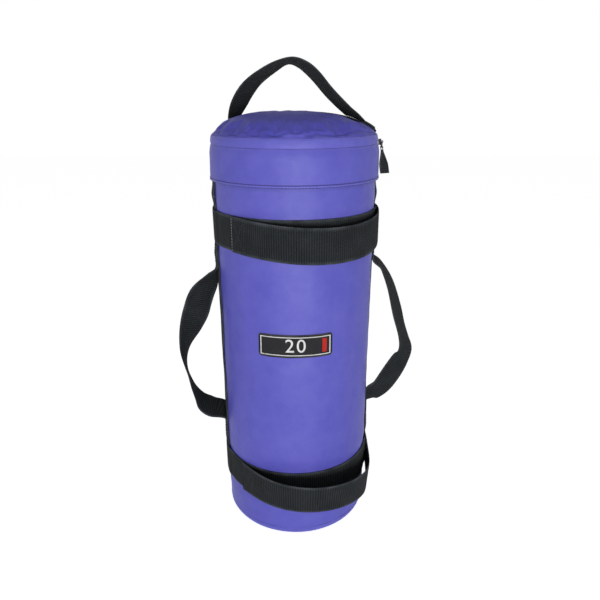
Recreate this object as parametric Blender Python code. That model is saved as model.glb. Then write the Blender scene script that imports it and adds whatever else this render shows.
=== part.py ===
"""A fitness power bag: a vinyl cylinder stood on its base, with a padded lid that zips open, webbing
bands with hand grips, a carry handle on the lid and one down each side, and four sand pouches inside.

Metres, +Z up. The origin is the middle of the base, where the bag stands. A heading is an angle round
the bag's axis in degrees: 0 is the front (-Y), 90 the right side (+X), 180 the back.
"""

import math

import bmesh
import bpy
from mathutils import Vector

# Driving dimensions of the cover
SEAM_Z = 0.5550
RIM_Z = 0.5660
CROWN_Z = 0.5925
RIM_RADIUS = 0.1098
VINYL = 0.0015
GAP = 0.0003
BASE_CORNER = 0.0180
BASE_RADIUS = 0.1042
BASE_SEAM_Z = 0.0170
# The outside of the tube wall as (height, radius): a soft tube that swells a little to the top
TUBE = ((0.0173, 0.1042), (0.0800, 0.1049), (0.3100, 0.1066), (0.4200, 0.1080), (0.4800, 0.1090),
        (0.5530, 0.1092))
TUBE_TOP_Z = 0.5525

# Collar over the top of the tube, with a folded hem
HEM_Z = 0.5095
HEM_HEIGHT = 0.0065
HEM_EXTRA = 0.0009
COLLAR_INNER = 0.1115
COLLAR_BEND_Z = 0.5440
COLLAR_LIP_RADIUS = 0.1110
COLLAR_WALL = 0.0013

# Webbing
BAND_WIDTH = 0.046
HANDLE_WIDTH = 0.038
WEB = 0.0016
UPPER_BAND_TOP = 0.4715
LOWER_BAND_TOP = 0.1112
SIDE_HEADINGS = {"left": -82.0, "right": 98.0}
SIDE_STRAP_BOTTOM = 0.0680
SIDE_STRAP_TOP = 0.5300

# The lid folds along a line across it, parallel to X, and its part behind the line opens
FOLD_Y = -0.0200
FOLD_CLEARANCE = 0.0005
FLAP_RIM_Z = 0.5570
ZIP_START, ZIP_END = 80.5, 279.5
ZIP_PARK = 87.0
COIL_RADIUS = 0.1083
COIL_WIRE = 0.0007
TAPE_RADIUS = 0.1064
TAPE = 0.0006
LOWER_TAPE = (0.5420, 0.5553)
UPPER_TAPE = (0.5557, 0.5640)
LOWER_COIL_Z, UPPER_COIL_Z = 0.5546, 0.5564
ZIP_STEPS = 30
STOP_SIZE = (0.0035, 0.0012, 0.0013)
STOP_RADIUS, STOP_Z, STOP_INSET = 0.10995, 0.55595, 1.5

# The slider is a body outside the lips of the zip, with an eye that the pull's link hangs in
SLIDER_INNER = 0.1120
SLIDER_SIZE = (0.0085, 0.0030, 0.0088)
SLIDER_BEVEL = 0.0007
SLIDER_Z = 0.5562
EYE_RADIUS, EYE_WIRE = 0.0018, 0.0005
LINK_WIRE = 0.0007
LINK_SIZE = (0.0120, 0.0072)
LINK_CORNER = 0.0018
# The tab hangs turned about its own length, so that it shows its face, and leans out a little
PULLER_WIDTH, PULLER_FOLD_WIDTH = 0.0140, 0.0070
PULLER_LAYER = 0.0010
PULLER_LENGTH = 0.0340
PULLER_SWING = 0.0055
PULLER_TURN = 59.0

# Inside
FOAM_INNER = 0.0975
FOAM_TOP_Z = 0.5510
FOAM_BASE_TOP = 0.0172
FOAM_CLEARANCE = 0.0010
POUCHES = 4
POUCH_PITCH = 0.1330
POUCH_RADIUS = 0.0960
POUCH_SHOULDER = 0.1040
POUCH_GATHER = 0.0120
NECK_RADIUS, MOUTH_RADIUS = 0.0150, 0.0190
CANVAS = 0.0009
SAND_HEIGHT = 0.1000
TIE_RADIUS, TIE_CORD = 0.0194, 0.0018

# Steps round a turn: of what shows, and of the padding and pouches inside
RING = 40
INSIDE_RING = 24
POUCH_RING = 16
BAND_STEPS = 72

# Routes of the loops of webbing as (out or along, height, twist), in mm and degrees. A side handle's
# first figure is its distance from the bag's axis, the top handle's its distance from its right foot.
TOP_HANDLE_FEET = ((0.1055, 0.0000), (-0.0850, 0.0450))
TOP_HANDLE = ((-1, 568, 0), (9, 577, 11), (22, 586, 21), (35, 595, 25), (59, 617, 28), (78, 638, 29),
              (91, 649, 26), (105, 656, 18), (121, 657, 7), (139, 649, 11), (161, 635, 15),
              (175, 621, 19), (186, 604, 18), (193, 589, 9), (196, 577, 0))
SIDE_HANDLES = {
    "left": ((111.5, 423, 0), (111.5, 404, 0), (113, 391, 4), (121, 374, 30), (134, 351, 62), (142, 326, 80),
             (151, 301, 59), (160, 272, 26), (162, 250, 5), (160, 230, -5), (156, 212, -2),
             (150, 195, 4), (142, 180, 18), (130, 171, 26), (117, 165, 17), (110, 153, 3),
             (109, 140, 0), (109, 119, 0)),
    "right": ((111.5, 423, 0), (111.5, 406, 0), (115, 394, 4), (127, 380, 16), (142, 350, 28), (154, 310, 35),
              (163, 278, 33), (168, 257, 40), (169, 241, 58), (162, 226, 70), (152, 208, 76),
              (139, 188, 74), (127, 175, 64), (116, 165, 34), (110, 152, 6), (109, 140, 0),
              (109, 119, 0)),
}
# Where the free loop begins and ends along each route, in metres from the route's ends
TOP_HANDLE_FOOT = {"right": 0.062, "left": 0.040}
SIDE_HANDLE_FOOT = {"upper": 0.070, "lower": 0.070}
LID_STRAP_LIFT = 0.0008
STRAP_STEP, FOOT_STEP = 0.0085, 0.0050

# Grips: the front stretch of a second strap on each band, sewn down at its two ends. The strap stands
# off the band, sags, and leans its top edge out, each by its greatest value here. The peaks say where
# along the strap that is, and the ease how gently it leaves the band.
GRIP_ENDS = (-45.0, 98.0)
GRIP_FEET = (22.0, 36.0)
GRIPS = {
    "upper": {"top": UPPER_BAND_TOP, "off": 0.0085, "sag": 0.0084, "lean": 1.0, "peak": 0.45,
              "sag_peak": 0.51, "ease": 1.58},
    "lower": {"top": LOWER_BAND_TOP, "off": 0.0220, "sag": 0.0125, "lean": 9.8, "peak": 0.45,
              "sag_peak": 0.75, "ease": 1.88},
}

LABEL_WIDTH, LABEL_HEIGHT, LABEL_Z, LABEL_THICK = 0.100, 0.032, 0.305, 0.0008


def clear_scene():
    for obj in list(bpy.data.objects):
        bpy.data.objects.remove(obj, do_unlink=True)


def material(name, colour, roughness, metallic=0.0):
    made = bpy.data.materials.new(name)
    made.use_nodes = True
    shader = made.node_tree.nodes["Principled BSDF"]
    shader.inputs["Base Color"].default_value = (*colour, 1.0)
    shader.inputs["Roughness"].default_value = roughness
    shader.inputs["Metallic"].default_value = metallic
    made.diffuse_color = (*colour, 1.0)
    return made


def make_materials():
    return {
        "vinyl": material("purple_vinyl", (0.125, 0.112, 0.52), 0.42),
        "webbing": material("black_webbing", (0.022, 0.026, 0.030), 0.85),
        "foam": material("grey_foam", (0.30, 0.30, 0.31), 0.95),
        "canvas": material("grey_canvas", (0.38, 0.37, 0.33), 0.9),
        "sand": material("sand", (0.50, 0.38, 0.24), 1.0),
        "tape": material("black_zip_tape", (0.015, 0.015, 0.018), 0.8),
        "metal": material("dark_metal", (0.05, 0.05, 0.055), 0.35, 1.0),
        "coil": material("black_nylon", (0.02, 0.02, 0.022), 0.45),
        "patch": material("woven_patch", (0.03, 0.03, 0.033), 0.7),
    }


def polar(radius, heading, z):
    angle = math.radians(heading)
    return Vector((radius * math.sin(angle), -radius * math.cos(angle), z))


def between(pairs, x):
    """The height at x of the line through (x, y) pairs, which is flat past its ends."""
    if x <= pairs[0][0]:
        return pairs[0][1]
    for (x0, y0), (x1, y1) in zip(pairs, pairs[1:]):
        if x <= x1:
            return y0 + (y1 - y0) * (x - x0) / (x1 - x0)
    return pairs[-1][1]


def tube_radius(z):
    return between(TUBE, z)


def dome_z(radius):
    """Height of the outside of the lid's cushion, at this distance from the axis."""
    share = min(radius / RIM_RADIUS, 1.0)
    return RIM_Z + (CROWN_Z - RIM_Z) * (1.0 - share**2.6) ** 0.75


def finish(name, bm, finish_with):
    bmesh.ops.recalc_face_normals(bm, faces=bm.faces)
    mesh = bpy.data.meshes.new(name)
    bm.to_mesh(mesh)
    bm.free()
    mesh.shade_smooth()
    mesh.set_sharp_from_angle(angle=math.radians(35))
    obj = bpy.data.objects.new(name, mesh)
    obj.data.materials.append(finish_with)
    bpy.context.collection.objects.link(obj)
    return obj


def sheet(name, place, finish_with, along=40, across=1, ring=False):
    """A solid sheet. place(u, v, w) gives a point for u along it, v across it and w through it, each from
    0 to 1. In a ring, u = 1 meets u = 0."""
    bm = bmesh.new()
    rows = along if ring else along + 1
    grid = {(i, j, k): bm.verts.new(place(i / along, j / across, k))
            for i in range(rows) for j in range(across + 1) for k in (0, 1)}

    def quad(*keys):
        bm.faces.new([grid[(i % rows if ring else i, j, k)] for i, j, k in keys])

    for i in range(along):
        for j in range(across):
            for k in (0, 1):
                quad((i, j, k), (i + 1, j, k), (i + 1, j + 1, k), (i, j + 1, k))
        for j in (0, across):
            quad((i, j, 0), (i + 1, j, 0), (i + 1, j, 1), (i, j, 1))
    if not ring:
        for i in (0, along):
            for j in range(across):
                quad((i, j, 0), (i, j + 1, 0), (i, j + 1, 1), (i, j, 1))
    return finish(name, bm, finish_with)


def turned(name, outline, finish_with, steps=RING, cut=None):
    """A solid turned round Z from an outline of (radius, height) points that starts and ends on the axis,
    or closes on itself. cut = (y, side) keeps only what lies on that side of the plane at y."""
    bm = bmesh.new()
    verts = [bm.verts.new((radius, 0.0, z)) for radius, z in outline]
    pairs = list(zip(verts, verts[1:]))
    if outline[0][0] > 0.0:
        pairs.append((verts[-1], verts[0]))
    edges = [bm.edges.new(pair) for pair in pairs]
    bmesh.ops.spin(bm, geom=verts + edges, cent=(0, 0, 0), axis=(0, 0, 1), angle=math.tau, steps=steps)
    bmesh.ops.remove_doubles(bm, verts=bm.verts, dist=1e-6)
    if cut:
        y, side = cut
        everything = list(bm.verts) + list(bm.edges) + list(bm.faces)
        bmesh.ops.bisect_plane(bm, geom=everything, dist=1e-7, plane_co=(0, y, 0), plane_no=(0, side, 0),
                               clear_inner=True)
        rim = [edge for edge in bm.edges if edge.is_boundary]
        bmesh.ops.holes_fill(bm, edges=rim, sides=0)
    return finish(name, bm, finish_with)


def inset(outline, depth):
    """An open outline moved inwards by depth, along its normals, for a shell turned round Z that lies
    towards the axis and below."""
    moved = []
    for i, (radius, z) in enumerate(outline):
        before = outline[max(i - 1, 0)]
        after = outline[min(i + 1, len(outline) - 1)]
        run = Vector((after[0] - before[0], after[1] - before[1])).normalized()
        moved.append((max(radius + run.y * depth, 0.0), z - run.x * depth))
    return moved


def base_outline(depth, top):
    """Half of the base's outline from the axis out and up to a height, this far inside the outside."""
    corner = BASE_CORNER - depth
    centre = BASE_RADIUS - BASE_CORNER
    last = math.asin((BASE_CORNER - top) / corner) if BASE_CORNER > top else 0.0
    points = [(0.0, depth)]
    steps = 4
    for step in range(steps + 1):
        angle = math.pi / 2 + (last - math.pi / 2) * step / steps
        points.append((centre + corner * math.cos(angle), BASE_CORNER - corner * math.sin(angle)))
    return points


def make_base(finishes):
    outside = base_outline(0.0, BASE_SEAM_Z)
    inside = base_outline(VINYL, BASE_SEAM_Z)
    turned("base_panel", outside + inside[::-1], finishes["vinyl"])
    foam = base_outline(VINYL + FOAM_CLEARANCE, FOAM_BASE_TOP)
    turned("foam_base", foam + [(0.0, FOAM_BASE_TOP)], finishes["foam"], INSIDE_RING)


def make_tube(finishes):
    heights = [BASE_SEAM_Z + GAP] + [z for z, _ in TUBE[1:-1]] + [TUBE_TOP_Z]
    rows = len(heights) - 1

    def wall(u, v, w):
        z = heights[round(v * rows)]
        return polar(tube_radius(z) - VINYL * (1 - w), 360 * u, z)

    sheet("body_shell", wall, finishes["vinyl"], RING, rows, ring=True)

    foam_heights = [FOAM_BASE_TOP + GAP, TUBE[2][0], FOAM_TOP_Z]
    foam_rows = len(foam_heights) - 1

    def padding(u, v, w):
        z = foam_heights[round(v * foam_rows)]
        outer = min(tube_radius(z) - VINYL, TAPE_RADIUS) - FOAM_CLEARANCE
        return polar(outer if w else FOAM_INNER, 360 * u, z)

    sheet("foam_wall", padding, finishes["foam"], INSIDE_RING, foam_rows, ring=True)


def make_collar(finishes):
    """A separate band of vinyl from the lid's seam down over the top of the tube. Its folded hem is
    thicker, and the side straps run up behind it."""
    wall = COLLAR_INNER + COLLAR_WALL
    hem = wall + HEM_EXTRA
    outside = [(hem, HEM_Z), (hem, HEM_Z + HEM_HEIGHT - HEM_EXTRA), (wall, HEM_Z + HEM_HEIGHT),
               (wall, COLLAR_BEND_Z), (COLLAR_LIP_RADIUS, SEAM_Z)]
    inside = [(COLLAR_LIP_RADIUS - COLLAR_WALL, SEAM_Z), (COLLAR_INNER, COLLAR_BEND_Z), (COLLAR_INNER, HEM_Z)]
    turned("collar", outside + inside, finishes["vinyl"])


def dome_outline(foot_z):
    radii = [0.0, 0.035, 0.063, 0.083, 0.096, 0.104, 0.1083]
    return [(r, dome_z(r)) for r in radii] + [(RIM_RADIUS, RIM_Z - 0.001), (RIM_RADIUS + 0.0010, foot_z)]


def make_lid(finishes):
    halves = {
        "lid_front": (SEAM_Z + GAP, FOLD_Y - FOLD_CLEARANCE, -1),
        "lid_flap": (FLAP_RIM_Z, FOLD_Y + FOLD_CLEARANCE, 1),
    }
    pad_edge = TAPE_RADIUS - 2 * GAP
    pad_bottom = FLAP_RIM_Z + GAP
    for name, (foot, y, side) in halves.items():
        outside = dome_outline(foot)
        inside = [(max(r, 0.0), z) for r, z in inset(outside, VINYL)]
        inside[0] = (0.0, outside[0][1] - VINYL)
        inside[-1] = (outside[-1][0] - VINYL, foot)
        turned(name, outside + inside[::-1], finishes["vinyl"], cut=(y, side))
        under = inset(dome_outline(foot), VINYL + FOAM_CLEARANCE)
        pad = [(r, z) for r, z in under if r < pad_edge and z > pad_bottom]
        pad[0] = (0.0, outside[0][1] - VINYL - FOAM_CLEARANCE)
        pad += [(pad_edge, pad[-1][1] - 2 * VINYL), (pad_edge, pad_bottom), (0.0, pad_bottom)]
        turned(name + "_foam", pad, finishes["foam"], INSIDE_RING, cut=(y, side))


def make_zip(finishes):
    def tape(low, high):
        def place(u, v, w):
            heading = ZIP_START + (ZIP_END - ZIP_START) * u
            return polar(TAPE_RADIUS + TAPE * w, heading, low + (high - low) * v)
        return place

    sheet("zip_tape_lower", tape(*LOWER_TAPE), finishes["tape"], ZIP_STEPS)
    sheet("zip_tape_upper", tape(*UPPER_TAPE), finishes["tape"], ZIP_STEPS)

    sides = 4
    for name, z in (("zip_coil_lower", LOWER_COIL_Z), ("zip_coil_upper", UPPER_COIL_Z)):
        bm = bmesh.new()
        rings = []
        for i in range(ZIP_STEPS + 1):
            heading = ZIP_START + (ZIP_END - ZIP_START) * i / ZIP_STEPS
            ring = []
            for j in range(sides):
                angle = math.tau * j / sides
                ring.append(bm.verts.new(polar(COIL_RADIUS + COIL_WIRE * math.cos(angle), heading,
                                               z + COIL_WIRE * math.sin(angle))))
            rings.append(ring)
        for one, two in zip(rings, rings[1:]):
            for j in range(sides):
                bm.faces.new((one[j], one[(j + 1) % sides], two[(j + 1) % sides], two[j]))
        bm.faces.new(rings[0])
        bm.faces.new(rings[-1])
        finish(name, bm, finishes["coil"])


def block(name, centre, size, heading, finish_with, bevel):
    """A small bevelled block. size is (along the rim, outwards, up)."""
    bm = bmesh.new()
    bmesh.ops.create_cube(bm, size=1.0)
    bmesh.ops.scale(bm, vec=size, verts=bm.verts)
    bmesh.ops.bevel(bm, geom=list(bm.edges), offset=bevel, segments=1, affect="EDGES")
    made = finish(name, bm, finish_with)
    made.rotation_euler.z = math.radians(heading)
    made.location = centre
    return made


def closed_tube(bm, points, wire, sides=6):
    """A closed loop of wire through points that lie in one plane."""
    rings = []
    count = len(points)
    middle = sum(points, Vector()) / count
    normal = (points[0] - middle).cross(points[count // 4] - middle).normalized()
    for i, point in enumerate(points):
        run = (points[(i + 1) % count] - points[i - 1]).normalized()
        out = run.cross(normal)
        rings.append([bm.verts.new(point + wire * (math.cos(math.tau * j / sides) * out
                                                   + math.sin(math.tau * j / sides) * normal))
                      for j in range(sides)])
    for i in range(count):
        one, two = rings[i], rings[(i + 1) % count]
        for j in range(sides):
            bm.faces.new((one[j], one[(j + 1) % sides], two[(j + 1) % sides], two[j]))


def make_slider(finishes):
    heading = ZIP_PARK
    outwards = polar(1, heading, 0)
    along = polar(1, heading + 90, 0)
    depth = SLIDER_SIZE[1]
    body = block("zip_slider", polar(SLIDER_INNER + depth / 2, heading, SLIDER_Z), SLIDER_SIZE, heading,
                 finishes["metal"], SLIDER_BEVEL)
    face = SLIDER_INNER + depth
    middle = face + EYE_RADIUS * 0.62
    circle = []
    for i in range(12):
        turn = math.tau * i / 12
        height = SLIDER_Z + EYE_RADIUS * math.sin(turn)
        circle.append(polar(middle + EYE_RADIUS * math.cos(turn), heading, height))
    bm = bmesh.new()
    closed_tube(bm, circle, EYE_WIRE)
    eye = finish("slider_eye", bm, finishes["metal"])
    eye.hide_render = True
    eye.display_type = "WIRE"
    join = body.modifiers.new("eye", "BOOLEAN")
    join.operation = "UNION"
    join.object = eye

    # The link hangs in the eye by its upper bar, which is the axis that the pull swings on
    pivot = polar(face + EYE_RADIUS * 0.78, heading, SLIDER_Z)
    wide, tall = LINK_SIZE
    corners = ((-wide / 2, 0.0), (wide / 2, 0.0), (wide / 2, -tall), (-wide / 2, -tall))
    points = []
    for index, (across, down) in enumerate(corners):
        centre = across - math.copysign(LINK_CORNER, across)
        height = down + (LINK_CORNER if down < 0 else -LINK_CORNER)
        for step in range(4):
            turn = math.radians(180 - 90 * index - 30 * step)
            points.append(pivot + along * (centre + LINK_CORNER * math.cos(turn))
                          + Vector((0, 0, height + LINK_CORNER * math.sin(turn))))
    bm = bmesh.new()
    closed_tube(bm, points, LINK_WIRE)
    finish("zip_pull_link", bm, finishes["metal"])

    bar = pivot - Vector((0, 0, tall))
    inner = LINK_WIRE + GAP
    fold = 0.16
    rise = 6

    def puller(u, v, w):
        """A strip folded over the link's lower bar. Its two layers lie together below, turn as they hang
        and lean out."""
        span = (u - 0.5) * 2
        if abs(span) <= fold:
            bend = span / fold * math.pi / 2
            reach = inner + PULLER_LAYER * w
            off, up = reach * math.sin(bend), reach * math.cos(bend)
            down = 0.0
        else:
            down = (abs(span) - fold) / (1 - fold)
            close = 1 - min(down * rise, 1.0) * (1 - GAP * 0.7 / inner)
            off = math.copysign(inner * close + PULLER_LAYER * w, span)
            up = -PULLER_LENGTH * down
        turn = math.radians(PULLER_TURN) * math.sin(min(down * 1.2, 1.0) * math.pi / 2)
        face = outwards * math.cos(turn) - along * math.sin(turn)
        across = along * math.cos(turn) + outwards * math.sin(turn)
        width = PULLER_FOLD_WIDTH + (PULLER_WIDTH - PULLER_FOLD_WIDTH) * min(down * 1.6, 1.0)
        lean = outwards * PULLER_SWING * down
        return bar + Vector((0, 0, up)) + lean + face * off + across * (v - 0.5) * width

    sheet("zip_puller", puller, finishes["webbing"], 40, 2)

    for name, at in (("zip_stop_right", ZIP_START + STOP_INSET), ("zip_stop_left", ZIP_END - STOP_INSET)):
        block(name, polar(STOP_RADIUS, at, STOP_Z), STOP_SIZE, at, finishes["metal"], GAP / 2)


def over_side_strap(heading):
    """How far a band is lifted where it crosses a side strap, from 0 to 1."""
    lift = 0.0
    clear, slope = 17.5, 5.0
    for middle in SIDE_HEADINGS.values():
        away = abs((heading - middle + 180) % 360 - 180)
        lift = max(lift, min(1.0, max(0.0, (clear - away) / slope)))
    return lift * lift * (3 - 2 * lift)


def make_bands(finishes):
    for name, top in (("upper_band", UPPER_BAND_TOP), ("lower_band", LOWER_BAND_TOP)):
        def place(u, v, w, top=top):
            heading = 360 * u
            z = top - BAND_WIDTH * (1 - v)
            lift = (WEB + GAP) * over_side_strap(heading)
            return polar(tube_radius(z) + GAP + lift + WEB * w, heading, z)

        sheet(name, place, finishes["webbing"], BAND_STEPS, 1, ring=True)


def make_side_straps(finishes):
    for name, middle in SIDE_HEADINGS.items():
        half = math.degrees(HANDLE_WIDTH / 2 / tube_radius(SIDE_STRAP_TOP))
        heights = [SIDE_STRAP_BOTTOM] + [z for z, _ in TUBE[1:-1]] + [SIDE_STRAP_TOP]

        def place(u, v, w, middle=middle):
            z = heights[round(u * (len(heights) - 1))]
            return polar(tube_radius(z) + GAP + WEB * w, middle - half + 2 * half * v, z)

        sheet(f"side_strap_{name}", place, finishes["webbing"], len(heights) - 1, 5)


class Route:
    """A smooth line through keys of (out, height, twist) in an upright plane, and the strap that runs
    along it. Twist turns the strap about the line, from lying square to the plane."""

    def __init__(self, origin, direction, keys):
        self.out = Vector((direction[0], direction[1], 0.0)).normalized()
        normal = self.out.cross(Vector((0, 0, 1)))
        self.normal = normal if normal.y > 0 else -normal
        dense = []
        steps = 12
        for i in range(len(keys) - 1):
            four = [Vector(keys[min(max(j, 0), len(keys) - 1)]) for j in range(i - 1, i + 3)]
            for step in range(steps):
                dense.append(self.spline(four, step / steps))
        dense.append(Vector(keys[-1]))
        self.points = [Vector(origin) + self.out * (k.x / 1000) + Vector((0, 0, k.y / 1000)) for k in dense]
        self.twists = [math.radians(k.z) for k in dense]
        self.lengths = [0.0]
        for one, two in zip(self.points, self.points[1:]):
            self.lengths.append(self.lengths[-1] + (two - one).length)
        self.length = self.lengths[-1]

    @staticmethod
    def spline(four, t):
        a, b, c, d = four
        square = 2 * a - 5 * b + 4 * c - d
        cube = 3 * b - 3 * c + d - a
        return b + (c - a) * t / 2 + square * t**2 / 2 + cube * t**3 / 2

    def at(self, distance):
        """Point, width direction and face direction at a distance along the line."""
        i = 0
        while i < len(self.lengths) - 2 and self.lengths[i + 1] < distance:
            i += 1
        share = (distance - self.lengths[i]) / (self.lengths[i + 1] - self.lengths[i])
        point = self.points[i].lerp(self.points[i + 1], share)
        twist = self.twists[i] + (self.twists[i + 1] - self.twists[i]) * share
        ahead = self.points[min(i + 2, len(self.points) - 1)] - self.points[max(i - 1, 0)]
        run = ahead.normalized()
        side = run.cross(self.normal)
        width = self.normal * math.cos(twist) + side * math.sin(twist)
        return point, width, run.cross(width).normalized()

    def strap(self, start, end, width):
        def place(u, v, w):
            point, across, face = self.at(start + (end - start) * u)
            return point + across * width * (v - 0.5) + face * WEB * (w - 0.5)
        return place


def above_lid(place):
    """The same strap, kept on top of the webbing that is sewn across the lid. Its upper side, w = 0, stays
    a layer above its lower side."""
    def kept(u, v, w):
        point = place(u, v, w)
        flat = Vector((point.x, point.y))
        reach = min(flat.length, RIM_RADIUS - 0.0005)
        flat = flat.normalized() * reach
        floor = dome_z(reach) + LID_STRAP_LIFT + WEB + 4 * GAP + WEB * (1 - w)
        return Vector((flat.x, flat.y, max(point.z, floor)))
    return kept


def loop_of_webbing(names, route, feet, finish_with, across=1, settle=lambda place: place):
    """A strap in three lengths: a sewn foot at each end, and the free loop between them."""
    first, second = feet
    last = route.length - second
    lengths = ((0.0, first - GAP), (first, last), (last + GAP, route.length))
    for name, (start, end) in zip(names, lengths):
        place = settle(route.strap(start, end, HANDLE_WIDTH))
        columns = across if name.endswith("foot") else 1
        step = FOOT_STEP if columns > 1 else STRAP_STEP
        sheet(name, place, finish_with, max(4, round((end - start) / step)), columns)


def make_handles(finishes):
    for side, heading in SIDE_HEADINGS.items():
        route = Route((0, 0, 0), polar(1, heading, 0), SIDE_HANDLES[side])
        names = (f"side_handle_{side}_upper_foot", f"side_handle_{side}", f"side_handle_{side}_lower_foot")
        loop_of_webbing(names, route, SIDE_HANDLE_FOOT.values(), finishes["webbing"])

    right, left = (Vector((x, y, 0)) for x, y in TOP_HANDLE_FEET)
    route = Route(right, left - right, TOP_HANDLE)
    names = ("top_handle_right_foot", "top_handle", "top_handle_left_foot")
    loop_of_webbing(names, route, TOP_HANDLE_FOOT.values(), finishes["webbing"], across=4, settle=above_lid)

    chord = left - right
    across = Vector((-chord.y, chord.x, 0)).normalized()

    def on_lid(u, v, w):
        """The strap sewn flat across the lid, from one foot of the handle to the other."""
        at = right + chord * (-0.006 + 1.012 * u) + across * HANDLE_WIDTH * (v - 0.5)
        radius = math.hypot(at.x, at.y)
        room = RIM_RADIUS - 0.0005
        if radius > room:
            at *= room / radius
            radius = room
        slope = (dome_z(radius) - dome_z(radius - GAP)) / GAP
        upright = (Vector((0, 0, 1)) - at.normalized() * slope).normalized()
        return Vector((at.x, at.y, dome_z(radius))) + upright * (LID_STRAP_LIFT + WEB * w)

    sheet("top_handle_base", on_lid, finishes["webbing"], 30, 5)


def swell(share, peak, ease):
    """0 at both ends of a strap and 1 at its peak, for a share of the way along it."""
    bend = math.log(0.5) / math.log(peak)
    return max(math.sin(math.pi * min(max(share, 0.0), 1.0) ** bend), 0.0) ** ease


def grip_place(grip, start, end):
    """The strap of a grip between two headings. It leaves the band at its ends, stands off and sags."""
    first, last = GRIP_ENDS

    def place(u, v, w):
        heading = start + (end - start) * u
        share = (heading - first) / (last - first)
        swollen = swell(share, grip["peak"], grip["ease"])
        lean = math.radians(grip["lean"]) * swollen
        low_z = grip["top"] - BAND_WIDTH - grip["sag"] * swell(share, grip["sag_peak"], grip["ease"])
        z = low_z + BAND_WIDTH * math.cos(lean) * v
        wall = tube_radius(grip["top"] - BAND_WIDTH / 2) + 2 * (GAP + WEB)
        radius = wall + GAP + grip["off"] * swollen + BAND_WIDTH * math.sin(lean) * v
        return polar(radius + WEB * w, heading, z)
    return place


def make_grips(finishes):
    gap = math.degrees(GAP / 0.112)
    for name, grip in GRIPS.items():
        left, right = GRIP_ENDS[0] + GRIP_FEET[0], GRIP_ENDS[1] - GRIP_FEET[1]
        sheet(f"{name}_grip_left_foot", grip_place(grip, GRIP_ENDS[0], left - gap), finishes["webbing"], 5)
        sheet(f"{name}_grip", grip_place(grip, left, right), finishes["webbing"], 26)
        sheet(f"{name}_grip_right_foot", grip_place(grip, right + gap, GRIP_ENDS[1]), finishes["webbing"], 9)


def make_label(finishes):
    half = math.degrees(LABEL_WIDTH / 2 / tube_radius(LABEL_Z))

    def place(u, v, w):
        z = LABEL_Z + LABEL_HEIGHT * (v - 0.5)
        return polar(tube_radius(z) + GAP + LABEL_THICK * w, half * (2 * u - 1), z)

    sheet("label_patch", place, finishes["patch"], 14)


def make_pouches(finishes):
    """Four canvas pouches of sand stand on each other. Each has a gathered neck, tied round."""
    wide = POUCH_RADIUS - CANVAS - 2 * GAP
    for index in range(POUCHES):
        floor = FOAM_BASE_TOP + GAP + POUCH_PITCH * index
        shoulder = floor + POUCH_SHOULDER
        neck = shoulder + POUCH_GATHER
        top = floor + POUCH_PITCH - 4 * GAP
        outside = [(0.0, floor), (POUCH_RADIUS - 0.008, floor), (POUCH_RADIUS, floor + 0.010),
                   (POUCH_RADIUS, shoulder - 0.010), (POUCH_RADIUS - 0.008, shoulder), (NECK_RADIUS, neck),
                   (MOUTH_RADIUS, top)]
        inside = [(max(r - CANVAS, 0.0), z + CANVAS if z < shoulder - POUCH_GATHER else z - CANVAS)
                  for r, z in outside[:-2]]
        inside += [(NECK_RADIUS - CANVAS, neck), (MOUTH_RADIUS - CANVAS, top)]
        turned(f"sand_pouch_{index + 1}", outside + inside[::-1], finishes["canvas"], POUCH_RING)

        bottom = floor + CANVAS + GAP
        level = bottom + SAND_HEIGHT
        sand = [(0.0, bottom), (wide - 0.009, bottom), (wide, bottom + 0.011), (wide, level - 0.014),
                (wide - 0.022, level), (0.0, level)]
        turned(f"sand_fill_{index + 1}", sand, finishes["sand"], POUCH_RING)

        bm = bmesh.new()
        ring = [polar(TIE_RADIUS, 30 * i, neck + 0.0052) for i in range(12)]
        closed_tube(bm, ring, TIE_CORD, 4)
        finish(f"pouch_tie_{index + 1}", bm, finishes["webbing"])


def main():
    clear_scene()
    finishes = make_materials()
    make_base(finishes)
    make_tube(finishes)
    make_collar(finishes)
    make_lid(finishes)
    make_zip(finishes)
    make_slider(finishes)
    make_bands(finishes)
    make_side_straps(finishes)
    make_handles(finishes)
    make_grips(finishes)
    make_label(finishes)
    make_pouches(finishes)


main()
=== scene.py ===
# %% [markdown]
# # A fitness power bag, dressed for its picture
#
# The bag is a purple vinyl cylinder on a round base. Black webbing goes round it in two bands, each
# with a hand grip, and makes a carry loop down each side and one on the padded lid. The lid unzips
# round the back, and four canvas pouches of sand stand inside.
#
# The working model is already made, so this lesson starts by loading it as a fixed frame. Each real
# piece is then modelled again with its soft shape and its finish, in the same place.

# %% Load the working model
import math
from bisect import bisect_right
from contextlib import contextmanager

import bmesh
import bpy
from mathutils import Matrix, Vector, noise


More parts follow.
